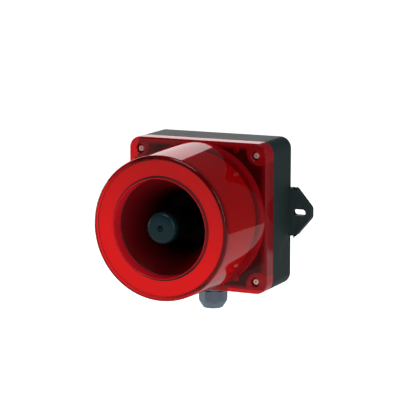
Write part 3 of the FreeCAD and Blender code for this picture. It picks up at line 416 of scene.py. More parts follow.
# the clear red cover: a square plate with screw blocks, the lens cylinder, its front and the mouth collar
cover = {
    "half": 65.0, "back": 40.0, "front": 55.0, "corner": 10.0, "wall": 3.0, "edgeRound": 1.6, "seamRound": 0.4,
    "blockEdge": 46.5, "blockRound": 8.0, "screwOffset": 54.5, "counterbore": 4.0, "floor": 50.0,
    "screwHole": 1.7, "rootRadius": 63.8, "frontRadius": 61.4, "frontRound": 3.0, "lensWall": 2.5,
    "lensFront": 129.5, "mouth": 41.9, "collarBack": 119.0, "collarWall": 2.0, "segments": 192,
}


def axisRamp(tree, vector, axis, low, high):  # a ramp on a distance from the middle, in mm
    return rampNode(tree, mathNode(tree, "ABSOLUTE", axisOf(tree, vector, axis)), low * mm, high * mm)


def distanceFrom(tree, vector, x, z):  # distance in the XZ plane from the same place in each quarter, in metres
    steps = (("ABSOLUTE", None), ("SUBTRACT", (x * mm, 0, z * mm)), ("MULTIPLY", (1, 0, 1)))
    for operation, value in steps:
        node = tree.nodes.new("ShaderNodeVectorMath")
        node.operation = operation
        tree.links.new(vector, node.inputs[0])
        if value:
            node.inputs[1].default_value = value
        vector = node.outputs["Vector"]
    length = tree.nodes.new("ShaderNodeVectorMath")
    length.operation = "LENGTH"
    tree.links.new(vector, length.inputs[0])
    return length.outputs["Value"]


def both(tree, first, second):
    return mathNode(tree, "MULTIPLY", first, second)


def either(tree, first, second):
    return mathNode(tree, "MAXIMUM", first, second)


# where the cover is thick it shows more of its own colour: the rim, the screw blocks, the lens's root and,
# most of all, the collar. Each pair is where the mask starts and where it is full, in mm
thick = {
    "rim": (58.5, 62.0), "sideShare": 0.45, "blockMiddle": 58.0, "block": (12.2, 11.4), "plateDepth": (56.0, 55.2),
    "plateShare": 0.3, "collar": (42.9, 42.3), "collarDepth": (117.0, 118.0), "root": (60.0, 60.5),
    "rootDepth": (67.0, 60.0), "rootStart": (55.0, 55.4), "rootShare": 0.25, "edge": (58.0, 58.8),
    "edgeDepth": (122.0, 125.0),
}


def radiusRamp(tree, vector, ends, middle=0):
    return rampNode(tree, distanceFrom(tree, vector, middle, middle), ends[0] * mm, ends[1] * mm)


def thickPlastic(tree, vector):
    t = thick
    sides = mathNode(tree, "MULTIPLY", axisRamp(tree, vector, "X", *t["rim"]), t["sideShare"])
    rim = either(tree, sides, axisRamp(tree, vector, "Z", *t["rim"]))
    blocks = radiusRamp(tree, vector, t["block"], t["blockMiddle"])
    plate = both(tree, either(tree, rim, blocks), axisRamp(tree, vector, "Y", *t["plateDepth"]))
    collar = both(tree, radiusRamp(tree, vector, t["collar"]), axisRamp(tree, vector, "Y", *t["collarDepth"]))
    side = both(tree, radiusRamp(tree, vector, t["root"]), axisRamp(tree, vector, "Y", *t["rootDepth"]))
    root = both(tree, side, axisRamp(tree, vector, "Y", *t["rootStart"]))
    shares = (mathNode(tree, "MULTIPLY", plate, t["plateShare"]), mathNode(tree, "MULTIPLY", root, t["rootShare"]))
    return either(tree, shares[0], either(tree, collar, shares[1]))


# clear coloured plastic: what is behind shows through in its colour, some light scatters in the
# plastic, and the polished skin mirrors more at a glancing angle
def clearPlastic(name, tint, body, haze, mirror, roughness, thickHaze=None, edgeTint=None, grazing=0.0,
                 gloss=(1, 1, 1)):
    material, tree, output, vector = newMaterial(name)
    surface = placeGroup(tree, mouldedSurface, vector, Color=(*body, 1), Roughness=roughness,
                         Roughness_Drift=0.03, Color_Drift=0.1, Grain_Scale=260.0, Grain_Depth=0.25)
    normal = bumpNode(tree, surface.outputs["Height"], 0.05, 0.05 * mm)
    through = tree.nodes.new("ShaderNodeBsdfTransparent")
    through.inputs["Color"].default_value = (*tint, 1)
    scatter = principled(tree, None, Specular_IOR_Level=0.0, Roughness=0.6)
    tree.links.new(surface.outputs["Color"], scatter.inputs["Base Color"])
    inner = tree.nodes.new("ShaderNodeMixShader")
    inner.inputs["Fac"].default_value = haze
    facing = tree.nodes.new("ShaderNodeLayerWeight")
    facing.inputs["Blend"].default_value = 0.5
    if thickHaze:  # light that grazes the wall goes further through it
        share = rampNode(tree, thickPlastic(tree, vector), 0.0, 1.0, haze, thickHaze)
        long = mathNode(tree, "MULTIPLY", mathNode(tree, "POWER", facing.outputs["Facing"], 3.0), grazing)
        tree.links.new(mathNode(tree, "ADD", share, long, clamp=True), inner.inputs["Fac"])
    if edgeTint:  # light goes a long way through the plastic of the front edge, which looks dark
        edge = both(tree, radiusRamp(tree, vector, thick["edge"]),
                    axisRamp(tree, vector, "Y", *thick["edgeDepth"]))
        tree.links.new(mixColor(tree, edge, (*tint, 1), (*edgeTint, 1)), through.inputs["Color"])
    tree.links.new(through.outputs["BSDF"], inner.inputs[1])
    tree.links.new(scatter.outputs["BSDF"], inner.inputs[2])
    skin = tree.nodes.new("ShaderNodeBsdfGlossy")
    skin.inputs["Color"].default_value = (*gloss, 1)
    tree.links.new(surface.outputs["Roughness"], skin.inputs["Roughness"])
    tree.links.new(normal, skin.inputs["Normal"])
    steep = mathNode(tree, "POWER", facing.outputs["Facing"], 4.0)
    share = mathNode(tree, "ADD", mathNode(tree, "MULTIPLY", steep, 0.7), mirror)
    geometry = tree.nodes.new("ShaderNodeNewGeometry")
    front = mathNode(tree, "SUBTRACT", 1.0, mathNode(tree, "MULTIPLY", geometry.outputs["Backfacing"], 0.8))
    whole = tree.nodes.new("ShaderNodeMixShader")
    tree.links.new(mathNode(tree, "MULTIPLY", share, front, clamp=True), whole.inputs["Fac"])
    tree.links.new(inner.outputs["Shader"], whole.inputs[1])
    tree.links.new(skin.outputs["BSDF"], whole.inputs[2])
    tree.links.new(whole.outputs["Shader"], output.inputs["Surface"])
    return material


glow = {"lean": 0.35, "dimFrom": 50.0, "fullFrom": -20.0, "least": 0.35}  # painted glow, dimmer towards the top right


def paintedGlowWhite(name, color, roughness, strength):  # white plastic with painted light: an emission glow stands in for lamps lighting it from behind
    material = plasticMaterial(name, color, roughness, dust=0.0)
    tree = material.node_tree
    shader = next(n for n in tree.nodes if n.type == "BSDF_PRINCIPLED")
    vector = next(n for n in tree.nodes if n.type == "TEX_COORD").outputs["Object"]
    sideways = mathNode(tree, "MULTIPLY", axisOf(tree, vector, "X"), glow["lean"])
    slope = mathNode(tree, "ADD", sideways, axisOf(tree, vector, "Z"))
    lit = rampNode(tree, slope, glow["dimFrom"] * mm, glow["fullFrom"] * mm, strength * glow["least"], strength)
    geometry = tree.nodes.new("ShaderNodeNewGeometry")  # no painted glow on the toothed edge, and its colour is painted near-black shade
    facing = mathNode(tree, "ABSOLUTE", axisOf(tree, geometry.outputs["Normal"], "Y"))
    flat = rampNode(tree, facing, 0.5, 0.8)
    tree.links.new(both(tree, lit, flat), shader.inputs["Emission Strength"])
    # painted shade: the toothed edge's colour is near-black
    base = shader.inputs["Base Color"].links[0].from_socket
    tree.links.new(mixColor(tree, flat, (0.02, 0.005, 0.005, 1), base), shader.inputs["Base Color"])
    shader.inputs["Emission Color"].default_value = (1.0, 0.95, 0.92, 1)
    return material


leadPairs = {"driver": 3.0, "board": -12.0}  # heights of the two pairs in mm


def leadMaterial():  # the upper lead of each pair is red, the lower one black
    material, tree, output, vector = newMaterial("leadInsulation")
    shader = principled(tree, output, Roughness=0.4)
    height = axisOf(tree, vector, "Z")
    between = (leadPairs["driver"] + leadPairs["board"]) / 2 * mm
    isDriver = mathNode(tree, "GREATER_THAN", height, between)
    upper = mathNode(tree, "GREATER_THAN", height, leadPairs["driver"] * mm)
    upperBoard = mathNode(tree, "GREATER_THAN", height, leadPairs["board"] * mm)
    isRed = mathNode(tree, "ADD", upper, mathNode(tree, "SUBTRACT", upperBoard, isDriver), clamp=True)
    shade = placeGroup(tree, mouldedSurface, vector, Grain_Scale=1500.0)
    color = mixColor(tree, isRed, (0.015, 0.015, 0.017, 1), (0.5, 0.02, 0.02, 1))
    tree.links.new(color, shader.inputs["Base Color"])
    tree.links.new(bumpNode(tree, shade.outputs["Height"], 0.2, 0.02 * mm), shader.inputs["Normal"])
    return material


def boardMaterial(name, mask, copper):  # solder mask over copper tracks
    material, tree, output, vector = newMaterial(name)
    shader = principled(tree, output, Coat_Weight=0.3, Coat_Roughness=0.1)
    cells = tree.nodes.new("ShaderNodeTexVoronoi")
    cells.distance = "MANHATTAN"
    cells.feature = "F1"
    cells.inputs["Scale"].default_value = 180.0
    tree.links.new(vector, cells.inputs["Vector"])
    tracks = rampNode(tree, cells.outputs["Distance"], 0.5, 0.52)
    tree.links.new(mixColor(tree, tracks, (*mask, 1), (*copper, 1)), shader.inputs["Base Color"])
    tree.links.new(rampNode(tree, noiseNode(tree, vector, 400.0, 3.0), 0.3, 0.7, 0.28, 0.42),
                   shader.inputs["Roughness"])
    tree.links.new(bumpNode(tree, tracks, 0.3, 0.03 * mm), shader.inputs["Normal"])
    return material


caseBlack = plasticMaterial("caseBlack", (0.018, 0.029, 0.030), 0.45, grainScale=700.0, bump=0.12, wear=0.15,
                            wearColor=(0.12, 0.14, 0.14, 1), Specular_IOR_Level=0.06)
lensRed = clearPlastic("lensRed", (0.80, 0.045, 0.060), (0.62, 0.010, 0.020), 0.03, 0.03, 0.04, thickHaze=0.9,
                       edgeTint=(0.42, 0.012, 0.02), grazing=0.35, gloss=(1, 0.80, 0.80))
bellRed = plasticMaterial("bellRed", (0.11, 0.002, 0.004), 0.34, grainScale=400.0, bump=0.05, dust=0.0,
                          Specular_IOR_Level=0.1)
plugSlate = plasticMaterial("plugSlate", (0.002, 0.018, 0.024), 0.24, bump=0.2, dust=0.0, wear=0.2,
                            wearColor=(0.1, 0.14, 0.16, 1), Specular_IOR_Level=0.25)
# painted shade: the bell darkens deep in the horn, and the plug's sides darken behind its front
paintShadeTowards(bellRed, 113.0, 72.0, 0.08)
paintShadeTowards(plugSlate, 124.0, 118.0, 0.12)
glandGrey = plasticMaterial("glandGrey", (0.078, 0.112, 0.148), 0.36, grainScale=1100.0, wear=0.3,
                            wearColor=(0.3, 0.33, 0.36, 1))
rubberBlack = plasticMaterial("rubberBlack", (0.018, 0.018, 0.019), 0.7, grainScale=1800.0, grainDepth=0.6)
chassisBlack = plasticMaterial("chassisBlack", (0.010, 0.010, 0.011), 0.6, bump=0.3, dust=0.0,
                               Specular_IOR_Level=0.1)
opalWhite = plasticMaterial("opalWhite", (0.70, 0.66, 0.64), 0.45, dust=0.0)
# the light ring's white with a painted glow, though it is no lamp
reflectorWhite = paintedGlowWhite("reflectorWhite", (0.86, 0.82, 0.80), 0.3, 0.6)
screwSteel = plasticMaterial("screwSteel", (0.80, 0.78, 0.74), 0.32, grainScale=1500.0, dust=0.0, Metallic=0.55)
headSteel = plasticMaterial("headSteel", (0.90, 0.87, 0.80), 0.3, grainScale=1500.0, dust=0.0, Metallic=0.5)
# painted shade on the lower sides of the cover screw heads, down in their counterbores
paintShadeTowards(headSteel, 52.6, 52.1, 0.05)
blackOxide = metalMaterial("blackOxide", (0.03, 0.035, 0.04), 0.35)
platedSteel = metalMaterial("platedSteel", (0.62, 0.62, 0.58), 0.3, brushScale=900.0)
brass = metalMaterial("brass", (0.72, 0.50, 0.20), 0.25)
copperWire = metalMaterial("copperWire", (0.55, 0.20, 0.08), 0.35, brushScale=2500.0)
laminatedSteel = metalMaterial("laminatedSteel", (0.28, 0.28, 0.27), 0.45, brushScale=3000.0)
blackAnodised = metalMaterial("blackAnodised", (0.035, 0.035, 0.038), 0.4)
ferrite = plasticMaterial("ferrite", (0.045, 0.045, 0.05), 0.5, grainScale=1500.0, grainDepth=0.8)
driverPlastic = plasticMaterial("driverPlastic", (0.018, 0.018, 0.02), 0.45)
phenolic = plasticMaterial("phenolic", (0.34, 0.2, 0.08), 0.4)
terminalGreen = plasticMaterial("terminalGreen", (0.03, 0.16, 0.06), 0.42)
buttonOrange = plasticMaterial("buttonOrange", (0.72, 0.18, 0.02), 0.4)
adjusterBlue = plasticMaterial("adjusterBlue", (0.02, 0.07, 0.3), 0.35)
rotorWhite = plasticMaterial("rotorWhite", (0.75, 0.73, 0.68), 0.35)
capSleeve = plasticMaterial("capSleeve", (0.02, 0.022, 0.035), 0.3)
chipEpoxy = plasticMaterial("chipEpoxy", (0.012, 0.012, 0.012), 0.5, grainScale=1800.0, grainDepth=0.6)
connectorNylon = plasticMaterial("connectorNylon", (0.72, 0.68, 0.58), 0.45)
slipNylon = plasticMaterial("slipNylon", (0.66, 0.66, 0.63), 0.4)
ledEpoxy = clearPlastic("ledEpoxy", (0.9, 0.35, 0.35), (0.6, 0.05, 0.05), 0.5, 0.05, 0.08)
boardGreen = boardMaterial("boardGreen", (0.010, 0.085, 0.030), (0.018, 0.14, 0.05))
boardWhite = boardMaterial("boardWhite", (0.70, 0.70, 0.68), (0.62, 0.62, 0.60))
leadInsulation = leadMaterial()
print("materials made:", len(bpy.data.materials))


# the case: a rounded box with a sealing groove, screw posts, two slotted ears and a cable hole
case = {
    "half": 65.0, "depth": 40.0, "corner": 10.0, "wall": 3.5, "backRound": 2.0, "rimRound": 0.5,
    "grooveInset": 1.0, "grooveWidth": 1.5, "earThickness": 7.5, "earShoulder": 72.0, "earRoot": 21.0,
    "earTip": 4.5, "slotX": 75.0, "slotLength": 12.5, "slotWidth": 5.5, "glandY": 22.0, "glandRadius": 10.0,
}
posts = {  # for the cover screws, the chassis and the main board
    "cover": {"x": 54.5, "rows": (54.5, -54.5), "radius": 7.2, "top": 39.5, "round": 0.4, "bore": 2.3,
              "floor": 31.0, "segments": 40},
    "chassis": {"x": 30.0, "rows": (56.0, -56.0), "radius": 4.0, "top": 36.5, "round": 0.4, "bore": 1.4,
                "floor": 26.0, "segments": 40},
    "board": {"x": 41.0, "rows": (41.0, -31.0), "radius": 3.5, "top": 8.0, "round": 0, "bore": 1.25,
              "floor": 4.0, "segments": 32},
}


def makeEar(side):
    c = case
    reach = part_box("base_housing")[1].x / mm
    inner = c["half"] - 4
    ear = block("ear", (inner, -c["earThickness"], -c["earRoot"]), (reach, 0, c["earRoot"]))
    bpy.ops.object.mode_set(mode="EDIT")
    bpy.ops.mesh.select_all(action="SELECT")
    bpy.ops.mesh.bisect(plane_co=(c["earShoulder"] * mm, 0, 0), plane_no=(1, 0, 0))
    pickEdges(ear, lambda a, b: min(a.x, b.x) > (reach - 0.1) * mm)
    bpy.ops.transform.resize(value=(1, 1, c["earTip"] / c["earRoot"]), center_override=(0, 0, 0))
    pickEdges(ear, lambda a, b: abs(a.y - b.y) > 1e-6 and min(a.x, b.x) > c["half"] * mm)
    bpy.ops.mesh.bevel(offset=1.6 * mm, segments=5, affect="EDGES")
    pickEdges(ear, lambda a, b: max(a.y, b.y) < -(c["earThickness"] - 0.01) * mm and max(a.x, b.x) > c["half"] * mm)
    bpy.ops.mesh.bevel(offset=0.5 * mm, segments=3, affect="EDGES")
    pickEdges(ear, lambda a, b: min(a.y, b.y) > -0.01 * mm and max(a.x, b.x) > c["half"] * mm)
    bpy.ops.mesh.bevel(offset=0.3 * mm, segments=2, affect="EDGES")
    bpy.ops.object.mode_set(mode="OBJECT")
    slot = block("slot", (c["slotX"] - c["slotLength"] / 2, -c["earThickness"] - 1, -c["slotWidth"] / 2),
                 (c["slotX"] + c["slotLength"] / 2, 1, c["slotWidth"] / 2), corner=c["slotWidth"] / 2 - 0.01)
    combine(ear, slot)
    if side < 0:
        bpy.ops.object.mode_set(mode="EDIT")
        bpy.ops.mesh.select_all(action="SELECT")
        bpy.ops.transform.resize(value=(-1, 1, 1), center_override=(0, 0, 0))
        bpy.ops.mesh.normals_make_consistent(inside=False)
        bpy.ops.object.mode_set(mode="OBJECT")
    return ear


def makeCase():
    c = case
    half, depth, wall, corner = c["half"], c["depth"], c["wall"], c["corner"]
    shell = block("caseShell", (-half, -depth, -half), (half, 0, half), corner, c["rimRound"], c["backRound"],
                  segments=14)
    for side in (1, -1):
        combine(shell, makeEar(side), "UNION")
    combine(shell, block("hollow", (wall - half, -depth - 1, wall - half), (half - wall, -wall, half - wall),
                         corner - wall, 0, 1.0))
    outer, inner = half - c["grooveInset"], half - c["grooveInset"] - c["grooveWidth"]
    groove = block("groove", (-outer, -depth - 1, -outer), (outer, -depth + c["grooveWidth"], outer),
                   corner - c["grooveInset"], segments=14)
    combine(groove, block("grooveCore", (-inner, -depth - 2, -inner), (inner, 0, inner),
                          corner - c["grooveInset"] - c["grooveWidth"], segments=14))
    combine(shell, groove)
    for p in posts.values():
        profile = [(p["radius"], wall - 1), (p["radius"], p["top"], p["round"]), (p["bore"], p["top"]),
                   (p["bore"], p["floor"]), (0.4, p["floor"])]
        for place in [(side * p["x"], row) for row in p["rows"] for side in (-1, 1)]:
            combine(shell, lathe("post", profile, place, segments=p["segments"], bored=False), "UNION")
    combine(shell, lathe("entry", [(c["glandRadius"], -half - 1), (c["glandRadius"], wall - half + 2)],
                         (0, -c["glandY"]), "Z", 64, False))
    return finishPiece(shell, caseBlack, "root", "case", "base_housing")


makeCase()
print("case made")


def makeCover():
    c = cover
    half, back, front, wall = c["half"], c["back"], c["front"], c["wall"]
    root, tip, lensFront, thickness = c["rootRadius"], c["frontRadius"], c["lensFront"], c["lensWall"]
    shell = block("lensCover", (-half, -front, -half), (half, -back, half), c["corner"], c["edgeRound"],
                  c["seamRound"], segments=14)
    barrel = lathe("barrel", [(root, front - 2), (root, front + 0.2), (tip, lensFront, c["frontRound"]),
                              (20, lensFront)], segments=c["segments"], bored=False, steps=8)
    combine(shell, barrel, "UNION")
    hollow = block("hollow", (wall - half, -(front - wall), wall - half), (half - wall, 1 - back, half - wall),
                   c["corner"] - wall, 0.6, 0)
    for sx, sz in cornerSigns:
        near, far = c["blockEdge"], half + 12
        xs, zs = sorted((near * sx, far * sx)), sorted((near * sz, far * sz))
        combine(hollow, block("screwBlock", (xs[0], -front - 5, zs[0]), (xs[1], 5 - back, zs[1]), c["blockRound"]))
    combine(shell, hollow)
    under = front - wall
    slope = (root - tip) / (lensFront - front)
    cavity = lathe("cavity", [
        (root - thickness, under - 1), (root - thickness, under),
        (root - slope * (lensFront - front) - thickness, lensFront - thickness, 1.2),
        (c["mouth"] + c["collarWall"], lensFront - thickness, 0.6),
        (c["mouth"] + c["collarWall"] - 0.7, c["collarBack"]),
    ], segments=c["segments"], bored=False)
    combine(shell, cavity)
    mouth = lathe("mouth", [
        (c["mouth"] - 0.75, c["collarBack"] - 1), (c["mouth"] - 0.7, c["collarBack"] + 0.3),
        (c["mouth"] - 0.05, lensFront - 0.7), (c["mouth"] + 0.3, lensFront - 0.1), (c["mouth"] + 0.9, lensFront + 0.5),
    ], segments=c["segments"], bored=False)
    combine(shell, mouth)
    for sx, sz in cornerSigns:
        sink = lathe("counterbore", [
            (c["counterbore"] + 1.2, front + 0.8), (c["counterbore"], front - 0.4), (c["counterbore"], c["floor"]),
            (c["screwHole"], c["floor"]), (c["screwHole"], back - 1),
        ], (c["screwOffset"] * sx, c["screwOffset"] * sz), segments=48, bored=False)
        combine(shell, sink)
    return finishPiece(shell, lensRed, "cover", "lens", "lens_cover", "beacon_lens")


makeCover()
print("cover made")


# cover screws: pan heads with a cross recess, each on its rubber seal
coverScrew = {"headRadius": 2.8, "headBack": 50.8, "headHeight": 2.4, "tip": 34.8, "shank": 1.5,
              "crossWidth": 0.95, "crossReach": 1.75, "crossDepth": 1.4, "chamfer": 0.5}
screwSeal = {"inner": 1.55, "outer": 3.6}


def makeScrew(name, s, steps=6, segments=48):
    top = s["headBack"] + s["headHeight"]
    dome = s["headHeight"] * 0.45
    screw = lathe(name, [
        (s["shank"] * 0.6, s["tip"]), (s["shank"], s["tip"] + s["chamfer"]), (s["shank"], s["headBack"]),
        (s["headRadius"], s["headBack"]), (s["headRadius"], top - dome * 0.9, dome * 0.8),
        (s["headRadius"] * 0.62, top), (0.3, top + 0.02),
    ], segments=segments, bored=False, steps=steps)
    for turned in (False, True):
        a, b = (s["crossReach"], s["crossWidth"] / 2) if turned else (s["crossWidth"] / 2, s["crossReach"])
        slot = block("recess", (-a, -top - 1, -b), (a, s["crossDepth"] - top, b))
        bpy.ops.object.mode_set(mode="EDIT")
        deep = (s["crossDepth"] - top) * mm
        pickEdges(slot, lambda p, q: abs(p.y - deep) < 1e-6 and abs(q.y - deep) < 1e-6)
        bpy.ops.transform.resize(value=(0.5, 1, 0.5), center_override=(0, deep, 0))
        bpy.ops.object.mode_set(mode="OBJECT")
        combine(screw, slot)
    return screw


def makeCoverScrews():
    offset = cover["screwOffset"]
    screw = makeScrew("screwPattern", coverScrew)
    top, inner, outer = coverScrew["headBack"], screwSeal["inner"], screwSeal["outer"]
    seal = lathe("sealPattern", [(inner, top, 0.15), (outer, top, 0.25), (outer, cover["floor"], 0.25),
                                 (inner, cover["floor"], 0.15)], segments=48)
    for number, (sx, sz) in enumerate(cornerSigns, start=1):
        place = (offset * sx, 0, offset * sz)
        finishPiece(copyAt(screw, f"coverScrew{number}", place), headSteel, f"cover_screw_{number}",
                    "screw_steel", f"cover_screw_{number}")
        finishPiece(copyAt(seal, f"screwSeal{number}", place), rubberBlack, f"screw_seal_{number}",
                    "gasket", f"screw_seal_{number}")
    bpy.data.objects.remove(screw)
    bpy.data.objects.remove(seal)


makeCoverScrews()
print("cover screws made")


# the light ring behind the front: a white ring with fine teeth round its edge
lightRing = {"inner": 44.3, "root": 56.9, "tooth": 1.2, "back": 125.0, "front": 127.0, "gap": 0.15, "teeth": 160}


def makeLightRing():
    r = lightRing
    ring = lathe("lightRing", [(r["inner"], r["back"]), (r["root"], r["back"]), (r["root"], r["front"] - r["gap"]),
                               (r["inner"], r["front"] - r["gap"])], segments=r["teeth"] * 2)
    bpy.ops.object.mode_set(mode="EDIT")
    bpy.ops.mesh.select_mode(type="VERT")
    bpy.ops.mesh.select_all(action="DESELECT")
    mesh = bmesh.from_edit_mesh(ring.data)
    for vertex in mesh.verts:
        angle = math.atan2(vertex.co.z, vertex.co.x)
        step = round(angle / math.tau * r["teeth"] * 2)
        outside = math.hypot(vertex.co.x, vertex.co.z) > (r["root"] - 0.1) * mm
        vertex.select_set(outside and step % 2 == 0)
    mesh.select_flush_mode()
    bmesh.update_edit_mesh(ring.data)
    grow = 1 + r["tooth"] / r["root"]
    bpy.ops.transform.resize(value=(grow, 1, grow), center_override=(0, 0, 0))
    bpy.ops.object.mode_set(mode="OBJECT")
    return finishPiece(ring, reflectorWhite, "cover", "reflector", "light_ring", angle=20)


makeLightRing()
print("light ring made")


# the horn: flared bell with a bowl at its base, mouth seal, tone tube and the domed centre plug
bell = {"base": 60.0, "waist": 25.0, "bowl": 8.0, "flare": 84.6, "front": 117.5, "wall": 2.0, "rim": 44.0,
        "spigot": 24.5, "foot": 34.0, "footBack": 39.0, "boltCircle": 30.5}
plug = {"radius": 13.3, "wall": 1.5, "back": 82.0, "front": 127.5, "turnStart": 118.0, "boss": 3.2,
        "edgeRound": 4.0, "sink": 1.2}
plugScrew = {"headRadius": 2.2, "headBack": plug["front"] - plug["sink"], "headHeight": 1.0, "tip": 112.5,
             "shank": 1.25, "crossWidth": 0.6, "crossReach": 1.4, "crossDepth": 0.8, "chamfer": 0.4}
mouthSeal = {"inner": 41.0, "outer": 44.0, "back": 117.5, "front": 119.0, "bevel": (0.3, 0.6)}


def makeBell():
    b = bell
    bowlTop = b["base"] + b["bowl"]
    centre = b["waist"] + b["flare"]
    sweep = math.degrees(math.asin((b["front"] - bowlTop) / b["flare"]))
    outerFlare = b["flare"] - b["wall"]
    outerSweep = math.degrees(math.asin((b["front"] - b["wall"] - bowlTop) / outerFlare))
    profile = [(9, b["base"], 0.5), (9, b["base"] - 4), (b["spigot"], b["base"] - 4), (b["spigot"], b["footBack"]),
               (b["foot"], b["footBack"], 0.4), (b["foot"], b["footBack"] + 3, 0.4),
               (b["waist"] + b["wall"], b["footBack"] + 3)]
    profile += arcPoints((centre, bowlTop), outerFlare, 180, 180 - outerSweep, 14)
    profile += [(b["rim"], b["front"] - b["wall"], 0.4), (b["rim"], b["front"], 0.4)]
    profile += arcPoints((centre, bowlTop), b["flare"], 180 - sweep, 180, 26)
    profile += arcPoints((b["waist"] - b["bowl"], bowlTop), b["bowl"], 0, -90, 12)[1:]
    horn = lathe("hornBell", profile, segments=144, steps=3)
    for i in range(3):
        angle = math.radians(90 + 120 * i)
        place = b["boltCircle"] * math.cos(angle), b["boltCircle"] * math.sin(angle)
        combine(horn, lathe("bolt", [(1.6, b["footBack"] - 1), (1.6, b["footBack"] + 4)], place, segments=32,
                            bored=False))
    return finishPiece(horn, bellRed, "root", "bell", "horn_bell", "horn_base", angle=40)


def makePlug():
    p = plug
    inner = p["radius"] - p["wall"]
    turn = (inner - p["boss"]) / 2
    profile = [(inner, p["back"], 0.5), (p["radius"], p["back"], 0.5),
               (p["radius"], p["front"] - 0.6, p["edgeRound"]), (p["radius"] * 0.45, p["front"] - 0.1, 6.0),
               (2.7, p["front"], 0.3), (2.3, p["front"] - p["sink"]), (1.3, p["front"] - p["sink"]),
               (1.3, p["turnStart"])]
    profile += arcPoints((p["boss"] + turn, p["turnStart"]), turn, 180, 0, 16)
    body = lathe("hornPlug", profile, segments=96, steps=7)
    return finishPiece(body, plugSlate, "root", "plug", "horn_reflector", angle=40)


def makePlugScrew():
    return finishPiece(makeScrew("plugScrew", plugScrew), blackOxide, "root", "black_screw", "reflector_screw")


def makeMouthSeal():
    m = mouthSeal
    seal = lathe("mouthSeal", [
        (m["inner"] + m["bevel"][0], m["front"], 0.3), (m["outer"] - m["bevel"][1], m["front"], 0.5),
        (m["outer"], m["back"], 0.2), (m["inner"], m["back"], 0.2),
    ], segments=144)
    return finishPiece(seal, rubberBlack, "root", "gasket", "mouth_seal")


makeBell()
makePlug()
makePlugScrew()
makeMouthSeal()
print("horn made")


# the beacon: an opal drum round the horn, and round LEDs on their ring board
drum = {"radius": 57.0, "wall": 1.5, "back": 61.6, "front": 122.0, "foot": 3.6}
led = {"count": 18, "circle": 50.0, "radius": 2.5, "back": 61.6, "height": 8.0}


def makeDrum():
    d = drum
    inside = d["radius"] - d["wall"]
    shell = lathe("diffuserDrum", [
        (inside, d["front"], 0.5), (d["radius"], d["front"], 0.5), (d["radius"], d["back"]),
        (d["radius"] - d["foot"], d["back"]), (d["radius"] - d["foot"], d["back"] + 1.5), (inside, d["back"] + 1.5, 0.8),
    ], segments=160)
    return finishPiece(shell, opalWhite, "root", "diffuser", "diffuser_drum")


def makeLeds():
    d = led
    top = d["back"] + d["height"]
    pattern = lathe("ledPattern", [
        (d["radius"] + 0.4, d["back"]), (d["radius"] + 0.4, d["back"] + 1, 0.2), (d["radius"], d["back"] + 1, 0.1),
        (d["radius"], top, d["radius"] * 0.9), (0.15, top),
    ], segments=24, bored=False, steps=6)
    lamps = []
    for i in range(d["count"]):
        angle = math.tau * i / d["count"]
        lamps.append(copyAt(pattern, f"led{i}", (d["circle"] * math.cos(angle), 0, d["circle"] * math.sin(angle))))
    bpy.data.objects.remove(pattern)
    return finishPiece(join(lamps, "beaconLeds"), ledEpoxy, "root", "led", "beacon_leds")


makeDrum()
makeLeds()
print("beacon made")


# the cable gland: a domed nut with flats, and the threaded body above it
gland = {"y": -22.0, "flats": 24.0, "corner": 12.7, "nutTop": -71.5, "bottom": -87.5, "mouth": 6.6,
         "thread": 9.0, "shoulder": -82.3, "domeRound": 6.5,
         "turn": 0.0}


def hexagon(name, low, high, flats):
    bpy.ops.object.select_all(action="DESELECT")
    bpy.ops.mesh.primitive_cylinder_add(vertices=6, radius=flats / math.sqrt(3) * mm, depth=(high - low) * mm,
                                        location=(0, gland["y"] * mm, (low + high) / 2 * mm),
                                        rotation=(0, 0, math.radians(gland["turn"])))
    piece = settle(bpy.context.object)
    piece.name = piece.data.name = name
    return piece


def makeGlandNut():
    g = gland
    centre = (0, g["y"])
    nut = hexagon("glandNut", g["bottom"] - 1, g["nutTop"] + 1, g["flats"])
    dome = lathe("dome", [
        (3, g["bottom"]), (8.6, g["bottom"], 1.2), (g["corner"], g["bottom"] + g["domeRound"], 7.0),
        (g["corner"], g["nutTop"], 0.6), (3, g["nutTop"]),
    ], centre, "Z", 96, False, 6)
    combine(nut, dome, "INTERSECT")
    bore = lathe("bore", [
        (g["mouth"] + 1.6, g["bottom"] - 0.8), (g["mouth"], g["bottom"] + 0.8), (g["mouth"], g["shoulder"]),
        (g["thread"], g["shoulder"]), (g["thread"], g["nutTop"] + 1),
    ], centre, "Z", 64, False)
    combine(nut, bore)
    return finishPiece(nut, glandGrey, "gland_nut", "gland", "gland_nut", angle=25)


makeGlandNut()
print("gland made")


# the CAD parts that stay, each with its own finish
finishes = {
    "threaded_inserts": brass, "cover_gasket": rubberBlack, "chassis_plate": chassisBlack,
    "chassis_screws": screwSteel, "led_board": boardWhite, "led_board_screws": screwSteel,
    "bell_screws": screwSteel, "tone_tube": bellRed, "driver_yoke": platedSteel, "driver_magnet": ferrite,
    "driver_top_plate": platedSteel, "driver_housing": driverPlastic, "diaphragm": phenolic,
    "voice_coil": copperWire, "driver_screws": screwSteel, "main_board": boardGreen, "board_screws": screwSteel,
    "terminal_block": terminalGreen, "tone_selector": adjusterBlue, "tone_rotor": rotorWhite,
    "volume_trimmer": adjusterBlue, "volume_rotor": rotorWhite, "capacitors": capSleeve,
    "transformer_core": laminatedSteel, "transformer_coil": copperWire, "heat_sink": blackAnodised,
    "amplifier_chip": chipEpoxy, "control_chip": chipEpoxy,
    "board_connectors": connectorNylon, "driver_terminals": connectorNylon, "wire_leads": leadInsulation,
    "gland_body": glandGrey, "gland_locknut": glandGrey, "gland_washer": rubberBlack,
    "gland_seal": rubberBlack, "gland_slip_ring": slipNylon,
}
finishes.update({f"terminal_button_{i}": buttonOrange for i in range(1, 5)})
for node, material in finishes.items():
    cadNodes[node].data.materials.clear()
    cadNodes[node].data.materials.append(material)
print("CAD parts finished:", len(finishes))


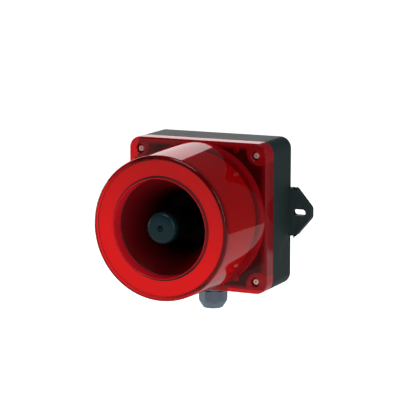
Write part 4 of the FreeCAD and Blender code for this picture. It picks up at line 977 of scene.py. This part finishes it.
# stage, lights and camera
stage = {"floorZ": -0.30, "floorSize": 40.0, "glowEnd": 1.2, "ambient": 0.25,
         "floorGlow": 0.85, "mirrorGlow": 0.50, "dimGlow": 0.08}
bpy.ops.object.select_all(action="DESELECT")
bpy.ops.mesh.primitive_plane_add(size=stage["floorSize"], location=(0, 0, stage["floorZ"]))
floor = bpy.context.object
floor.name = "paleFloor"


def floorMaterial():
    material, tree, output, vector = newMaterial("paleFloor")
    pale = principled(tree, None, Roughness=0.9, Specular_IOR_Level=0.0, Emission_Strength=stage["floorGlow"])
    pale.inputs["Base Color"].default_value = (0.9, 0.9, 0.9, 1)
    pale.inputs["Emission Color"].default_value = (1, 1, 1, 1)
    mirrored = tree.nodes.new("ShaderNodeEmission")
    end = stage["glowEnd"]
    glowOut = rampNode(tree, axisOf(tree, vector, "Y"), end, end + 0.05, stage["mirrorGlow"], stage["dimGlow"])
    tree.links.new(glowOut, mirrored.inputs["Strength"])
    rays = tree.nodes.new("ShaderNodeLightPath")
    mix = tree.nodes.new("ShaderNodeMixShader")
    tree.links.new(rays.outputs["Is Glossy Ray"], mix.inputs["Fac"])
    tree.links.new(pale.outputs["BSDF"], mix.inputs[1])
    tree.links.new(mirrored.outputs["Emission"], mix.inputs[2])
    tree.links.new(mix.outputs["Shader"], output.inputs["Surface"])
    return material


floor.data.materials.append(floorMaterial())


def makeWorld():
    world = bpy.data.worlds.new("softStudio")
    bpy.context.scene.world = world
    world.use_nodes = True
    tree = world.node_tree
    tree.nodes.clear()
    output = tree.nodes.new("ShaderNodeOutputWorld")
    bright = tree.nodes.new("ShaderNodeBackground")
    bright.inputs["Color"].default_value = (1, 1, 1, 1)
    bright.inputs["Strength"].default_value = stage["ambient"]
    dim = tree.nodes.new("ShaderNodeBackground")
    dim.inputs["Color"].default_value = (0.85, 0.95, 1, 1)
    dim.inputs["Strength"].default_value = stage["dimGlow"]
    rays = tree.nodes.new("ShaderNodeLightPath")
    mix = tree.nodes.new("ShaderNodeMixShader")
    tree.links.new(rays.outputs["Is Glossy Ray"], mix.inputs["Fac"])
    tree.links.new(bright.outputs["Background"], mix.inputs[1])
    tree.links.new(dim.outputs["Background"], mix.inputs[2])
    tree.links.new(mix.outputs["Shader"], output.inputs["Surface"])


makeWorld()


def softbox(name, azimuth, elevation, distance, size, radiance):  # degrees from the back, seen from the object
    turn, rise = math.radians(azimuth), math.radians(elevation)
    place = Vector((math.sin(turn) * math.cos(rise), math.cos(turn) * math.cos(rise), math.sin(rise))) * distance
    light = bpy.data.lights.new(name, "AREA")
    light.shape = "RECTANGLE"
    light.size, light.size_y = size
    light.energy = radiance * size[0] * size[1] * math.pi
    lamp = bpy.data.objects.new(name, light)
    bpy.context.scene.collection.objects.link(lamp)
    lamp.location = place
    lamp.rotation_mode = "QUATERNION"
    lamp.rotation_quaternion = (-place).to_track_quat("-Z", "Y")
    lamp.visible_camera = False
    return lamp


softboxes = {  # azimuth, elevation, distance, size and radiance
    "rearBox": (-38, 18, 2.0, (1.45, 1.1), 1.5),
    "sideBox": (118, 20, 1.8, (1.0, 1.2), 1.6),
    "topBox": (170, 76, 1.6, (0.8, 0.7), 4.2),
    "leftBox": (-92, 2, 1.8, (0.8, 0.8), 5.0),
}
for boxName, boxValues in softboxes.items():
    softbox(boxName, *boxValues)


camera = {"azimuth": 24.8, "elevation": 9.9, "distance": 1.7316, "aim": (0, -0.045, 0),
          "right": 0.0069, "up": 0.0027, "focalShare": 2000 / 420, "sensor": 36.0}


def makeCamera():
    c = camera
    turn, rise = math.radians(c["azimuth"]), math.radians(c["elevation"])
    away = Vector((math.sin(turn) * math.cos(rise), -math.cos(turn) * math.cos(rise), math.sin(rise)))
    data = bpy.data.cameras.new("viewCamera")
    data.sensor_width = c["sensor"]
    data.lens = c["sensor"] * c["focalShare"]
    data.clip_start, data.clip_end = 0.01, 100
    eye = bpy.data.objects.new("viewCamera", data)
    bpy.context.scene.collection.objects.link(eye)
    eye.rotation_mode = "QUATERNION"
    facing = (-away).to_track_quat("-Z", "Y")
    eye.rotation_quaternion = facing
    side, top = facing @ Vector((1, 0, 0)), facing @ Vector((0, 1, 0))
    eye.location = Vector(c["aim"]) + away * c["distance"] + side * c["right"] + top * c["up"]
    eye.rotation_quaternion = facing
    bpy.context.scene.camera = eye


makeCamera()
bpy.context.scene.view_settings.view_transform = "Standard"
print("stage, lights and camera set")
